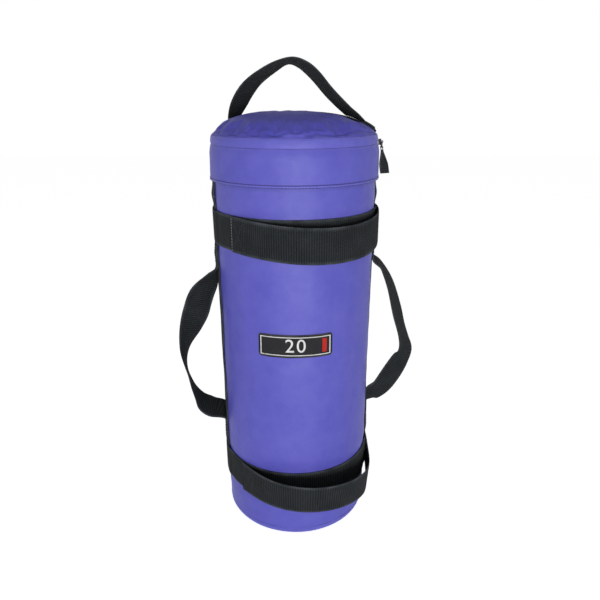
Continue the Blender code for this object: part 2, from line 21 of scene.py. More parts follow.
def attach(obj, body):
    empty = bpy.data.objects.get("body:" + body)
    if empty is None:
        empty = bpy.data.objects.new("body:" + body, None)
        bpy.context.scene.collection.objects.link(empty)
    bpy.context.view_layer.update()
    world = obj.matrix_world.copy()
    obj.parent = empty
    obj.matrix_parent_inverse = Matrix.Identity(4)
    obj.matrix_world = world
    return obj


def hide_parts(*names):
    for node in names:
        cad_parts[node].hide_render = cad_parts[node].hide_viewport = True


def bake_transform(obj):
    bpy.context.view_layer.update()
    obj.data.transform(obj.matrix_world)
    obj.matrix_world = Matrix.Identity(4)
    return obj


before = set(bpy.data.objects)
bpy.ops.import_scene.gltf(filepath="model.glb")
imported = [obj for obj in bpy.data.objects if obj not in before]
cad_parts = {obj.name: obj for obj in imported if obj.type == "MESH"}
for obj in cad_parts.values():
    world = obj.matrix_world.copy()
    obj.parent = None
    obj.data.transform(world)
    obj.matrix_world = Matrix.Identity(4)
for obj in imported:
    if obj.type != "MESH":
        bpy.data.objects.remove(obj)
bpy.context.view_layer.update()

# %% [markdown]
# ## The measures of the bag
#
# Every soft piece has to sit where the working model says, so the lesson keeps the same few measures:
# the outline of the tube, the height of each seam, and the width of each strap. A heading is an angle
# round the bag in degrees, 0 at the front and 90 at the right side. Two small functions turn a heading
# into a place, and a height into the radius of the tube.

# %% The measures
TUBE = ((0.0173, 0.1042), (0.0800, 0.1049), (0.3100, 0.1066), (0.4200, 0.1080), (0.4800, 0.1090),
        (0.5530, 0.1092))
TUBE_FOOT, TUBE_TOP = 0.0173, 0.5525
VINYL = 0.0015
GAP = 0.0003
WEB = 0.0016
BAND_WIDTH, HANDLE_WIDTH = 0.046, 0.038
BAND_TOPS = {"upper": 0.4715, "lower": 0.1112}
SIDE_HEADINGS = {"left": -82.0, "right": 98.0}
HEM_LOW, HEM_GROOVE, HEM_HIGH = 0.5095, 0.5131, 0.5160
RIM_RADIUS, RIM_Z, CROWN_Z = 0.1098, 0.5660, 0.5925
DOME_SHOULDER, DOME_FALL = 2.6, 0.75


def polar(radius, heading, z):
    angle = math.radians(heading)
    return Vector((radius * math.sin(angle), -radius * math.cos(angle), z))


def heading_of(point):
    return math.degrees(math.atan2(point[0], -point[1]))


def moved_out(point, amount):
    """The point, moved straight out from the bag's axis."""
    return point + polar(amount, heading_of(point), 0)


def bell(x):
    """1 at 0, and less on both sides of it."""
    return math.exp(-(x**2))


def smooth(x):
    x = min(max(x, 0.0), 1.0)
    return x * x * (3 - 2 * x)


def tube_radius(z):
    for (z0, r0), (z1, r1) in zip(TUBE, TUBE[1:]):
        if z <= z1:
            return r0 + (r1 - r0) * (max(z, z0) - z0) / (z1 - z0)
    return TUBE[-1][1]


def dome_z(radius):
    """The height of the lid's dome."""
    share = min(radius / RIM_RADIUS, 1.0)
    return RIM_Z + (CROWN_Z - RIM_Z) * (1.0 - share**DOME_SHOULDER) ** DOME_FALL


print("radius at the middle", round(tube_radius(0.3) * 1000, 1), "mm")

# %% [markdown]
# ## The camera
#
# The photograph looks down at the bag from a little above its lid, from less than a metre away. That
# close, the base looks narrower than the top although the bag is nearly a cylinder, so both the place
# and the focal length of the camera matter. The camera is turned by its own three axes, which is
# easier to get right than three angles.

# %% Camera
PLACE = Vector((0.0, -0.8198, 0.6108))
PITCH, YAW, ROLL = (math.radians(angle) for angle in (18.72, 0.49, -0.19))
FOCAL_PIXELS, PICTURE, SENSOR = 594.7, 600, 36.0

bpy.ops.object.camera_add(location=PLACE)
camera = bpy.context.object
camera.data.sensor_width = SENSOR
camera.data.lens = SENSOR * FOCAL_PIXELS / PICTURE
ahead = Vector((math.sin(YAW) * math.cos(PITCH), math.cos(YAW) * math.cos(PITCH), -math.sin(PITCH)))
level = Vector((math.cos(YAW), -math.sin(YAW), 0.0))
upright = level.cross(ahead)
across = level * math.cos(ROLL) + upright * math.sin(ROLL)
top = upright * math.cos(ROLL) - level * math.sin(ROLL)
camera.matrix_world = Matrix.Translation(PLACE) @ Matrix((across, top, -ahead)).transposed().to_4x4()
bpy.context.scene.camera = camera
bpy.context.scene.view_settings.view_transform = "Standard"
print("lens", round(camera.data.lens, 2), "mm")

# %% [markdown]
# ## The floor and the light
#
# The picture has a white background and one light in front of the bag, which draws a soft highlight
# down its middle and leaves the lid darker. A wide lamp low in front does this, with a weaker one at
# each side. The background is full white only to the camera and in reflections, and gives the bag
# itself much less light. The floor still takes the bag's shadow.

# %% Floor, background and lamps
KEY, SIDE, RIGHT_SIDE = 27.5, 7.4, 1.2
AMBIENT = 0.21
FLOOR_GLOW, FLOOR_DROP = 0.82, 0.0005
WHITE, PALE = (1, 1, 1, 1), (0.8, 0.8, 0.8, 1)
AIM = Vector((0, 0, 0.30))


def node(tree, kind, inputs=None, **settings):
    """A new node. An input is a number, a colour or the output that feeds it."""
    made = tree.nodes.new("ShaderNode" + kind)
    for name, value in settings.items():
        setattr(made, name, value)
    for name, value in (inputs or {}).items():
        if isinstance(value, bpy.types.NodeSocket):
            tree.links.new(value, made.inputs[name])
        else:
            made.inputs[name].default_value = value
    return made


def feed(tree, kind, inputs=None, output=0, **settings):
    """The output of a new node, which feeds the next one."""
    return node(tree, kind, inputs, **settings).outputs[output]


def maths(tree, operation, *values):
    return feed(tree, "Math", dict(enumerate(values)), operation=operation)


def spread(tree, value, low, high, to_low=0.0, to_high=1.0):
    """Values from low to high, spread from to_low to to_high."""
    return feed(tree, "MapRange", {"Value": value, "From Min": low, "From Max": high,
                                   "To Min": to_low, "To Max": to_high})


def emptied(owner):
    """The nodes of a material or a world, with its first ones taken away."""
    owner.use_nodes = True
    owner.node_tree.nodes.clear()
    return owner.node_tree


def seen_directly(tree):
    """1 for rays from the camera, and for what is seen in metal or glass."""
    path = node(tree, "LightPath").outputs
    seen = maths(tree, "MAXIMUM", path["Is Camera Ray"], path["Is Glossy Ray"])
    return maths(tree, "MAXIMUM", seen, path["Is Transmission Ray"])


world = bpy.data.worlds.new("white_background")
bpy.context.scene.world = world
tree = emptied(world)
strength = spread(tree, seen_directly(tree), 0.0, 1.0, AMBIENT, 1.0)
node(tree, "OutputWorld", {"Surface": feed(tree, "Background", {"Color": WHITE, "Strength": strength})})

bpy.ops.mesh.primitive_plane_add(size=12, location=(0, 0, -FLOOR_DROP))
floor = bpy.context.object
floor.name = "floor"
pale = bpy.data.materials.new("pale_floor")
tree = emptied(pale)
matt = feed(tree, "BsdfDiffuse", {"Color": PALE})
glow = maths(tree, "MULTIPLY", seen_directly(tree), FLOOR_GLOW)
shine = feed(tree, "Emission", {"Color": WHITE, "Strength": glow})
node(tree, "OutputMaterial", {"Surface": feed(tree, "AddShader", {0: matt, 1: shine})})
floor.data.materials.append(pale)


def lamp(name, place, size, power):
    bpy.ops.object.light_add(type="AREA", location=place)
    made = bpy.context.object
    made.name = name
    made.data.shape = "RECTANGLE"
    made.data.size, made.data.size_y = size
    made.data.energy = power
    made.rotation_euler = (AIM - Vector(place)).to_track_quat("-Z", "Y").to_euler()


lamp("front_lamp", (0.06, -2.00, 0.28), (1.1, 0.52), KEY)
lamp("left_lamp", (-2.30, -0.90, 0.50), (1.2, 1.4), SIDE)
lamp("right_lamp", (2.30, -1.10, 0.50), (1.2, 1.4), SIDE * RIGHT_SIDE)

# %% [markdown]
# ## Vinyl
#
# The cover is a coated fabric: a satin plastic skin with a fine grain. Its colour isn't quite even. It
# is paler where it has been rubbed, round the base and up the back seam. On the collar's hem and lip
# and round the lid's rim it is painted paler as a painted highlight, and in the hem's crease and just
# under the hem it is painted darker as painted shade. Both are values kept on the mesh, named wear
# (rubbing and painted highlight) and seam (painted shade), which each piece of vinyl gets when it is shaped.

# %% The vinyl finish
VINYL_COLOUR = (0.078, 0.075, 0.438)
VINYL_PALE = (0.155, 0.150, 0.550)
# Painted shade: the vinyl's colour where the seam value darkens it.
VINYL_PAINTED_SHADE = (0.030, 0.028, 0.150)
VINYL_SHINE = {"purple_vinyl": 0.46, "matt_lid_vinyl": 0.16}


def new_finish(name):
    """A material that has no shader yet, its nodes, and the place of each point."""
    made = bpy.data.materials.new(name)
    tree = emptied(made)
    return made, tree, feed(tree, "TexCoord", output="Object")


def kept(tree, name):
    """A value that the mesh keeps for each point."""
    return feed(tree, "Attribute", output="Fac", attribute_name=name)


def grain(tree, place, scale, detail=3.0):
    return feed(tree, "TexNoise", {"Vector": place, "Scale": scale, "Detail": detail})


def cells(tree, place, scale):
    return feed(tree, "TexVoronoi", {"Vector": place, "Scale": scale}, "Distance")


def mixed(tree, share, one, two):
    """Two colours mixed. Each is a plain colour or an output."""
    one, two = (c if isinstance(c, bpy.types.NodeSocket) else (*c, 1.0) for c in (one, two))
    return feed(tree, "Mix", {"Factor": share, 6: one, 7: two}, 2, data_type="RGBA")


def shade(tree, height, depth, inputs):
    """Ends a material with its shader, whose surface follows a height by means of bumps."""
    bump = feed(tree, "Bump", {"Height": height, "Distance": depth, "Strength": 1.0})
    node(tree, "OutputMaterial", {"Surface": feed(tree, "BsdfPrincipled", {**inputs, "Normal": bump})})


def make_vinyl(name, shine):
    made, tree, place = new_finish(name)
    clouds = maths(tree, "ADD", grain(tree, place, 26.0), grain(tree, place, 70.0))
    uneven = mixed(tree, spread(tree, clouds, 0.75, 1.35, 0.0, 0.26), VINYL_COLOUR, VINYL_PALE)
    patches = spread(tree, grain(tree, place, 160.0), 0.3, 0.7, 0.4, 1.0)
    # The wear value pales the colour: real rubbing, and a painted highlight on the collar's hem and lip and
    # the lid's rim.
    rubbed_and_highlit = mixed(tree, maths(tree, "MULTIPLY", kept(tree, "wear"), patches), uneven, VINYL_PALE)
    pebbles = maths(tree, "ADD", cells(tree, place, 900.0), grain(tree, place, 300.0))
    # The seam value paints shade in: darker in the hem's crease and under the hem.
    shade(tree, pebbles, 0.00012, {
        "Base Color": mixed(tree, kept(tree, "seam"), rubbed_and_highlit, VINYL_PAINTED_SHADE),
        "Roughness": spread(tree, grain(tree, place, 420.0), 0.3, 0.7, 0.50, 0.60),
        "Specular IOR Level": shine})
    return made


FINISH = {name: make_vinyl(name, shine) for name, shine in VINYL_SHINE.items()}
print("finishes:", *FINISH)

# %% [markdown]
# ## Webbing
#
# The straps are heavy black cotton webbing. Its threads cross in ribs about 3 mm apart, which are
# deep enough to be modelled. The threads themselves are much finer, so the finish draws them: short
# floats that step from rib to rib, on the strap's own UV map, which is laid out in metres. Cotton has a
# soft sheen where its loose fibres stand up, so the black looks grey at the edges. The woven edge of a
# strap, where the thread turns back, is painted paler, partly rubbing and partly a painted highlight:
# each strip keeps how near its edge a point is.

# %% The webbing finish
RIB = 0.0030
YARN = 0.0022
EDGE_HIGHLIGHT_PALER = 1.9


def wave(tree, value, pitch, kind):
    return maths(tree, kind, maths(tree, "MULTIPLY", value, math.tau / pitch))


def checks(tree, uv, along, over):
    """Threads that pass over and under each other, and the ribs, which are 1 on top and -1 between."""
    apart = node(tree, "SeparateXYZ", {"Vector": uv}).outputs
    rows = [wave(tree, apart["X"], along, "SINE"), wave(tree, apart["Y"], over, "SINE")]
    weave = maths(tree, "MULTIPLY", *rows)
    return weave, wave(tree, apart["X"], along, "COSINE")


def make_cloth(name, dark, pale, along, over, deep, roughness, sheen, ribbed=0.0):
    """A woven finish. Its threads repeat every so many metres along the strap and across it."""
    made, tree, place = new_finish(name)
    weave, ribs = checks(tree, feed(tree, "UVMap"), along, over)
    dusty = grain(tree, place, 38.0)
    fluffy = maths(tree, "ADD", weave, grain(tree, place, 700.0, 4.0))
    tone = maths(tree, "MULTIPLY_ADD", ribs, ribbed, maths(tree, "ADD", fluffy, dusty))
    threads = mixed(tree, spread(tree, tone, 0.1, 2.1), dark, pale)
    # The woven edges are painted paler, in patches: partly rubbing, partly a painted highlight.
    rubbed_and_highlit = maths(tree, "MULTIPLY", kept(tree, "edge"), spread(tree, dusty, 0.35, 0.65, 0.2, 0.9))
    painted_edge_highlight = tuple(min(channel * EDGE_HIGHLIGHT_PALER, 0.9) for channel in pale)
    shade(tree, fluffy, deep, {
        "Base Color": mixed(tree, rubbed_and_highlit, threads, painted_edge_highlight), "Roughness": roughness,
        "Sheen Weight": sheen, "Sheen Roughness": 0.45, "Specular IOR Level": 0.05})
    return made


for look in (
        ("black_webbing", (0.004, 0.005, 0.005), (0.040, 0.045, 0.050), RIB, YARN, 0.00016, 0.85, 0.03, 0.45),
        ("black_zip_tape", (0.008, 0.008, 0.010), (0.030, 0.030, 0.035), 0.0012, 0.0012, 0.00006, 0.80, 0.10),
        ("grey_canvas", (0.26, 0.25, 0.22), (0.50, 0.49, 0.44), 0.0016, 0.0016, 0.00010, 0.90, 0.10),
        ("woven_patch", (0.012, 0.012, 0.013), (0.040, 0.040, 0.044), 0.0008, 0.0008, 0.00004, 0.70, 0.10),
        ("white_threads", (0.55, 0.55, 0.54), (0.85, 0.85, 0.83), 0.0008, 0.0008, 0.00003, 0.65, 0.10),
        ("red_threads", (0.35, 0.015, 0.015), (0.62, 0.04, 0.03), 0.0008, 0.0008, 0.00003, 0.65, 0.10)):
    FINISH[look[0]] = make_cloth(*look)
print("finishes:", *FINISH)

# %% [markdown]
# ## Foam, sand, metal, nylon and thread
#
# The rest need less: small cells or lumps in two colours. Foam is matt with open cells. Sand is light
# and dark brown grains. The zip's metal is a dark, slightly uneven plating, its coils are a slightly
# glossy nylon, and the sewing thread is a dark polyester, with one pale row on the upper grip.

# %% The other finishes
def make_grainy(name, dark, pale, scale, roughness, deep, metallic=0.0, specular=0.5):
    """A finish of small lumps or cells in two colours."""
    made, tree, place = new_finish(name)
    lumps, clouds = cells(tree, place, scale), grain(tree, place, scale * 0.2)
    share = spread(tree, maths(tree, "MULTIPLY", lumps, clouds), 0.1, 0.5)
    shade(tree, lumps, deep, {
        "Base Color": mixed(tree, share, dark, pale), "Metallic": metallic,
        "Roughness": spread(tree, clouds, 0.3, 0.7, *roughness), "Specular IOR Level": specular})
    return made


for look in (
        ("grey_foam", (0.20, 0.20, 0.21), (0.38, 0.38, 0.39), 900, (0.9, 1.0), 0.00030, 0.0, 0.2),
        ("sand", (0.36, 0.26, 0.15), (0.66, 0.52, 0.35), 1600, (0.85, 1.0), 0.00030),
        ("dark_metal", (0.045, 0.045, 0.050), (0.085, 0.085, 0.090), 700, (0.28, 0.42), 0.00002, 1.0),
        ("black_nylon", (0.015, 0.015, 0.017), (0.035, 0.035, 0.038), 1200, (0.35, 0.50), 0.00002),
        ("dark_thread", (0.010, 0.010, 0.020), (0.030, 0.030, 0.050), 2500, (0.7, 0.9), 0.00004),
        ("pale_thread", (0.16, 0.17, 0.15), (0.30, 0.31, 0.28), 2500, (0.7, 0.9), 0.00004)):
    FINISH[look[0]] = make_grainy(*look)
print("finishes:", *FINISH)

# %% [markdown]
# ## Turning a shape, and laying a strip
#
# Two ways of working make nearly every piece. A round piece is an outline spun round the bag's axis,
# as on a lathe: a circle is added, its points are moved onto the outline, and it is spun. A strip is a
# flat grid that is laid along its route and then given thickness by a Solidify modifier, which keeps
# the grid's UV map for the weave. Each helper leaves its piece at the origin, unturned and unscaled.

# %% Helpers for modelling
LENGTHWISE = Matrix.Rotation(math.pi / 2, 4, "Y")
EDGE_COLUMNS = (0.0, 0.012, 0.04, 0.10)
EDGE_ROUND = 0.80


def alone(*objects):
    bpy.ops.object.select_all(action="DESELECT")
    for chosen in objects:
        chosen.select_set(True)
    bpy.context.view_layer.objects.active = objects[0]


def apply(piece, kind, **settings):
    """Adds a modifier and applies it at once."""
    alone(piece)
    modifier = piece.modifiers.new(kind.lower(), kind)
    for name, value in settings.items():
        setattr(modifier, name, value)
    bpy.ops.object.modifier_apply(modifier=modifier.name)


@contextmanager
def editing(piece):
    """Edit mode, with the whole piece selected."""
    alone(piece)
    bpy.ops.object.mode_set(mode="EDIT")
    bpy.ops.mesh.select_all(action="SELECT")
    yield
    bpy.ops.object.mode_set(mode="OBJECT")


def faces_out():
    """Makes every face of the piece that is being edited face outwards."""
    bpy.ops.mesh.select_all(action="SELECT")
    bpy.ops.mesh.normals_make_consistent(inside=False)


def added(operator, name, **settings):
    """Adds one of Blender's own shapes at the origin, and names it."""
    bpy.ops.object.select_all(action="DESELECT")
    operator(**settings)
    piece = bpy.context.object
    piece.name = name
    return piece


def ring(name, radius, wire, around, through):
    """A torus, with so many faces round it and round its wire."""
    return added(bpy.ops.mesh.primitive_torus_add, name, major_radius=radius, minor_radius=wire,
                 major_segments=around, minor_segments=through)


def copy_of(piece, name):
    """A copy with a mesh of its own."""
    made = bpy.data.objects.new(name, piece.data.copy())
    bpy.context.collection.objects.link(made)
    return made


def joined(*pieces):
    alone(*pieces)
    bpy.ops.object.join()
    return pieces[0]


def turned(name, outline, steps):
    """Spins a closed outline of (radius, height) points round the bag's axis."""
    piece = added(bpy.ops.mesh.primitive_circle_add, name, vertices=len(outline), radius=0.1)
    for vertex, (radius, z) in zip(piece.data.vertices, outline):
        vertex.co = (radius, 0.0, z)
    with editing(piece):
        bpy.ops.mesh.spin(steps=steps, angle=math.tau, center=(0, 0, 0), axis=(0, 0, 1))
        bpy.ops.mesh.select_all(action="SELECT")
        bpy.ops.mesh.remove_doubles(threshold=0.000005)
        bpy.ops.mesh.delete_loose(use_verts=True, use_edges=True, use_faces=False)
        faces_out()
    return piece


def columns(count):
    """Places across a strap from 0 to 1, closer together at its two edges, which are round."""
    inner = [EDGE_COLUMNS[-1] + (1 - 2 * EDGE_COLUMNS[-1]) * i / count for i in range(1, count)]
    return list(EDGE_COLUMNS) + inner + [1 - v for v in reversed(EDGE_COLUMNS)]


def strip(name, place, length, width, step=0.0006, count=5, closed=False, deep=0.13):
    """Lays a ribbed strap. place(u, v, w) gives the point for u along it, v across it and w through it."""
    sides = columns(count)
    last = len(sides) - 1
    piece = added(bpy.ops.mesh.primitive_grid_add, name, x_subdivisions=max(2, round(length / step)),
                  y_subdivisions=last, size=2.0)
    mesh = piece.data
    where = [((v.co.x + 1) / 2, sides[round((v.co.y + 1) / 2 * last)]) for v in mesh.vertices]
    at = mesh.attributes.new("at", "FLOAT2", "POINT")
    at.data.foreach_set("vector", [number for spot in where for number in spot])
    for loop, uv in zip(mesh.loops, mesh.uv_layers.active.data):
        u, v = where[loop.vertex_index]
        uv.uv = (u * length, v * width)
    for vertex, (u, v) in zip(mesh.vertices, where):
        vertex.co = place(u, v, 0.0)
    if closed:
        with editing(piece):
            bpy.ops.mesh.remove_doubles(threshold=0.00001)
    half = len(mesh.vertices)
    apply(piece, "SOLIDIFY", thickness=0.0005, offset=-1.0)
    mesh = piece.data
    where = [tuple(item.vector) for item in mesh.attributes["at"].data]
    inward = [min(v, 1 - v, EDGE_COLUMNS[-1]) / EDGE_COLUMNS[-1] for _, v in where]
    # How near each point is to the strap's edge, where a paler colour is painted as a highlight.
    edge = mesh.attributes.new("edge", "FLOAT", "POINT")
    edge.data.foreach_set("value", [1 - smooth(share) for share in inward])
    for index, (vertex, (u, v), share) in enumerate(zip(mesh.vertices, where, inward)):
        side = -0.5 if index < half else 0.5
        round_edge = math.sqrt(1 - EDGE_ROUND * (1 - share) ** 2)
        ribs = 1 + deep * math.cos(math.tau * u * length / RIB)
        vertex.co = place(u, v, 0.5 + side * round_edge * ribs)
    mesh.attributes.remove(mesh.attributes["at"])
    with editing(piece):
        faces_out()
    return piece


def settle(piece, move):
    """Moves every point of a piece to move(point), as careful sculpting would."""
    for vertex in piece.data.vertices:
        vertex.co = move(vertex.co.copy())
    piece.data.update()


def wear_and_painted_light_by(piece, amount, kind="wear"):
    """Keeps on the mesh, for the vinyl, how rubbed or painted as a highlight each point is, or how much
    painted shade it gets.
    """
    layer = piece.data.attributes.get(kind) or piece.data.attributes.new(kind, "FLOAT", "POINT")
    layer.data.foreach_set("value", [min(max(amount(v.co), 0.0), 1.0) for v in piece.data.vertices])


def done(piece, slot, body, *nodes, look=None, angle=50):
    """Gives a finished piece its finish and the body it moves with, and hides the nodes that it stands for.
    """
    piece.data.materials.clear()
    piece.data.materials.append(FINISH[look or slot])
    alone(piece)
    bpy.ops.object.shade_smooth_by_angle(angle=math.radians(angle))
    if body == "fold":
        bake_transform(piece)
    elif body:
        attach(piece, body)
    if nodes:
        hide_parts(*nodes)
    size = [round((max(c) - min(c)) * 1000, 1) for c in zip(*(v.co for v in piece.data.vertices))]
    print(f"{piece.name}: {len(piece.data.polygons)} faces, {size} mm")


# %% [markdown]
# ## How vinyl lies on a stuffed tube
#
# Vinyl over foam doesn't lie like a pipe. It has broad soft panels, upright folds where it drags, and
# small dents, and the bands hold it in while it swells a little just above and below them. One
# function gives this for any heading and height, and everything that is sewn flat on the tube asks it
# too, so nothing sinks in or floats.

# %% The soft shape of the wall
BROAD, DRAG, DENT = 0.00085, 0.00060, 0.00058
DENT_Z, DENT_REACH, DENT_LEAST = 0.24, 0.16, 0.4
SQUEEZE, SWELL = 0.0003, 0.0008
SWELL_AWAY, SWELL_TALL = 0.017, 0.011
BAND_MARGIN = 0.010
NOISE_RADIUS = 0.107


def band_hold(z):
    """1 under a band, falling to 0 just beyond its edges."""
    held = 0.0
    for top in BAND_TOPS.values():
        off = max(top - BAND_WIDTH - z, z - top, 0.0)
        held = max(held, 1 - smooth(off / BAND_MARGIN))
    return held


def lump(place, size, seed):
    """Round lumps and hollows of about one size."""
    return noise.noise(Vector((place[0] + seed, place[1], place[2])) / size)


def upright_folds(place, wide, tall, seed):
    return noise.noise(Vector((place.x / wide + seed, place.y / wide, place.z / tall)))


def ripples(heading, number, inward):
    """Folds side by side round the bag. The noise is read on a circle, so its two ends meet."""
    turn = math.radians(heading)
    return noise.noise(Vector((math.cos(turn) * number, math.sin(turn) * number, inward)))


def soft(heading, z):
    """How far the wall stands out from its smooth outline."""
    place = polar(NOISE_RADIUS, heading, z)
    broad = BROAD * lump(place, 0.070, 3.1)
    drag = DRAG * upright_folds(place, 0.021, 0.120, 7)
    low = DENT_LEAST + (1 - DENT_LEAST) * max(1 - abs(z - DENT_Z) / DENT_REACH, 0.0)
    dent = DENT * low * lump(place, 0.024, 9.7)
    swell = sum(SWELL * bell((z - edge) / SWELL_TALL) for top in BAND_TOPS.values()
                for edge in (top + SWELL_AWAY, top - BAND_WIDTH - SWELL_AWAY))
    held = band_hold(z)
    return (broad + drag + dent + swell) * (1 - held) - SQUEEZE * held


print("swell above the lower band", round(soft(0, 0.13) * 1000, 2), "mm")

# %% [markdown]
# ## The tube and the base
#
# The tube is a sheet of vinyl rolled into a wall and sewn up the back. Its outline is spun, and every
# point is then moved in or out by the soft shape. The base is a round panel with a soft rounded
# corner, spun the same way, a little uneven where the foam inside presses on it.

# %% Tube
ROWS = 132
heights = [TUBE_FOOT + (TUBE_TOP - TUBE_FOOT) * i / ROWS for i in range(ROWS + 1)]
outside = [(tube_radius(z), z) for z in heights]
inside = [(tube_radius(z) - VINYL, z) for z in heights[::12]]
body = turned("tube_wall", outside + inside[::-1], 240)
settle(body, lambda p: moved_out(p, soft(heading_of(p), p.z)))


def tube_wear(p):
    """Rubbed faintly in patches, and up the back, where the tube is sewn."""
    patch = max(0.0, lump(p, 0.05, 21.0)) * 0.25
    return patch + 0.3 * bell((abs(heading_of(p)) - 180) / 1.2)


def painted_hem_shadow(p):
    """A painted shadow: the dark line below the collar's hem."""
    return 0.85 * (1 - smooth(abs(p.z - HEM_LOW) / 0.0024))


wear_and_painted_light_by(body, tube_wear)
# Painted shadow on the tube, in a band just below the collar's hem.
wear_and_painted_light_by(body, painted_hem_shadow, "seam")
done(body, "purple_vinyl", "bag", "body_shell")

# %% Base
BASE_CORNER, BASE_RADIUS, BASE_SEAM = 0.0180, 0.1042, 0.0170
BASE_UNEVEN = 0.0005


def base_outline(depth, steps=14):
    """Half the base's section, a depth below its outer face."""
    corner, centre = BASE_CORNER - depth, BASE_RADIUS - BASE_CORNER
    last = math.asin((BASE_CORNER - BASE_SEAM) / corner)
    flat = [(centre * i / 6, depth) for i in range(6)]
    curve = [math.pi / 2 + (last - math.pi / 2) * i / steps for i in range(steps + 1)]
    return flat + [(centre + corner * math.cos(a), BASE_CORNER - corner * math.sin(a)) for a in curve]


def base_lie(p):
    """Uneven between the floor and the seam, and smooth at both."""
    lift = smooth((p.z - 0.002) / 0.006) * (1 - smooth((p.z - 0.014) / 0.003))
    return moved_out(p, BASE_UNEVEN * lift * lump(p, 0.030, 4.0))


base = turned("base_cover", base_outline(0.0) + base_outline(VINYL)[::-1], 200)
settle(base, base_lie)
wear_and_painted_light_by(base, lambda p: 0.55 * (1 - smooth(abs(p.z - 0.003) / 0.006)) * (0.5 + lump(p, 0.02, 2.0)))
done(base, "purple_vinyl", "bag", "base_panel")

# %% [markdown]
# ## The collar
#
# A second strip of vinyl goes round over the top of the tube. Its lower edge is folded under and
# sewn down with two rows of stitches, so the hem is thicker, and its upper edge leans in to the zip.
# It isn't glued to anything, so it stands off in soft upright facets.

# %% Collar
COLLAR_INNER, COLLAR_WALL = 0.1115, 0.0013
BEND_Z, LIP_RADIUS, LIP_Z = 0.5440, 0.1110, 0.5550
FACET, RIPPLE, PULL = 0.00042, 0.00024, 0.00038
HELD_Z, STANDS_OFF, SINKS = 0.5535, 0.0002, -0.0003
wall = COLLAR_INNER + COLLAR_WALL
hem = wall + 0.0006
lower = [(hem - 0.0010, HEM_LOW), (hem - 0.0004, HEM_LOW + 0.0002), (hem - 0.0001, HEM_LOW + 0.0007),
         (hem + 0.0001, HEM_LOW + 0.0013), (hem + 0.0001, HEM_LOW + 0.0022),
         (hem - 0.0001, HEM_GROOVE - 0.0007), (wall - 0.0001, HEM_GROOVE - 0.0002),
         (wall - 0.0001, HEM_GROOVE + 0.0002),
         (wall + 0.0002, HEM_GROOVE + 0.0007), (wall + 0.0001, HEM_GROOVE + 0.0016), (wall, HEM_HIGH)]
rows = [(wall, HEM_HIGH + (BEND_Z - HEM_HIGH) * i / 9) for i in range(1, 10)]
over = [(wall - 0.0004, 0.5480), (wall - 0.0010, 0.5515), (LIP_RADIUS + 0.0001, 0.5540),
        (LIP_RADIUS - 0.0003, LIP_Z), (LIP_RADIUS - 0.0010, LIP_Z - 0.0002)]
inner = [(LIP_RADIUS - COLLAR_WALL, LIP_Z - 0.0012), (COLLAR_INNER - 0.0010, 0.5500),
         (COLLAR_INNER, BEND_Z), (COLLAR_INNER, 0.5330), (COLLAR_INNER, 0.5210),
         (COLLAR_INNER, HEM_LOW + 0.0006)]


def collar_lie(p):
    """Soft upright facets, which die away at the zip."""
    free = smooth((HELD_Z - p.z) / 0.010)
    relief = FACET * ripples(heading_of(p), 3.4, p.z / 0.07) + RIPPLE * lump(p, 0.016, 12.0)
    relief += PULL * upright_folds(p, 0.017, 0.090, 2)
    return moved_out(p, max(SINKS, (relief + STANDS_OFF) * free))


collar = turned("collar_cover", lower + rows + over + inner, 260)
settle(collar, collar_lie)
# Painted highlight: paler on the hem's ridge and just under the lip.
wear_and_painted_light_by(collar, lambda p: 0.6 * bell((p.z - HEM_LOW - 0.0018) / 0.0009)
        + 0.35 * bell((p.z - LIP_Z + 0.0005) / 0.0015))
# Painted shade: darker in the hem's groove and along its lower edge.
wear_and_painted_light_by(collar, lambda p: 0.9 * bell((p.z - HEM_GROOVE) / 0.0004)
        + 0.7 * (1 - smooth((p.z - HEM_LOW) / 0.0008)), "seam")
done(collar, "purple_vinyl", "bag", "collar")

# %% [markdown]
# ## The padded lid
#
# The lid is a disc of vinyl over a cushion of foam, gathered where it is sewn to the narrow strip round
# the rim. Gathers come from cloth that is longer than the seam it is sewn to, which is what a cloth
# simulation is good at. The cushion is remeshed evenly, its rim and the line under the carry strap are
# pinned, the cloth is let grow by a few hundredths, and a little pressure blows it up from below. What
# moved too far is held back, and the top skin is cut off and given its thickness. The strip's upper
# edge is turned in under the skin, which closes the seam, and the foam stays clear below both.

# %% Lid skin by cloth simulation
SKIN_RIM, SKIN_Z, SKIN_THICK = 0.1092, 0.5662, 0.0012
FEET = (Vector((0.1055, 0.0, 0.0)), Vector((-0.0850, 0.0450, 0.0)))
RIPPLE_DEEP, FINE_DEEP, LEFT_DEEPER = 0.0034, 0.0016, 0.5
FRAMES, CAP = 20, 0.0045
CLOTH = {"quality": 6, "mass": 0.3, "tension_stiffness": 12, "compression_stiffness": 12,
         "shear_stiffness": 6, "bending_stiffness": 0.15, "shrink_min": -0.05, "use_pressure": True,
         "uniform_pressure_force": 3.0, "vertex_group_mass": "sewn"}


def off_strap(p):
    """How far a point lies from the line of the strap that is sewn across the lid."""
    run = FEET[1] - FEET[0]
    flat = Vector((p[0], p[1], 0)) - FEET[0]
    share = min(max(flat.dot(run) / run.length_squared, 0.0), 1.0)
    return (flat - run * share).length


def gather(p):
    """The start of the gathers: ripples that run in from the rim, deeper at the front left."""
    radius, heading = math.hypot(p.x, p.y), heading_of(p)
    deep = RIPPLE_DEEP * ripples(heading, 5.2, radius / 0.09)
    deep += FINE_DEEP * ripples(heading, 11.0, radius / 0.05)
    left = 1.0 + LEFT_DEEPER * math.cos(math.radians(heading + 55))
    return deep * smooth((radius - 0.060) / 0.040) * left


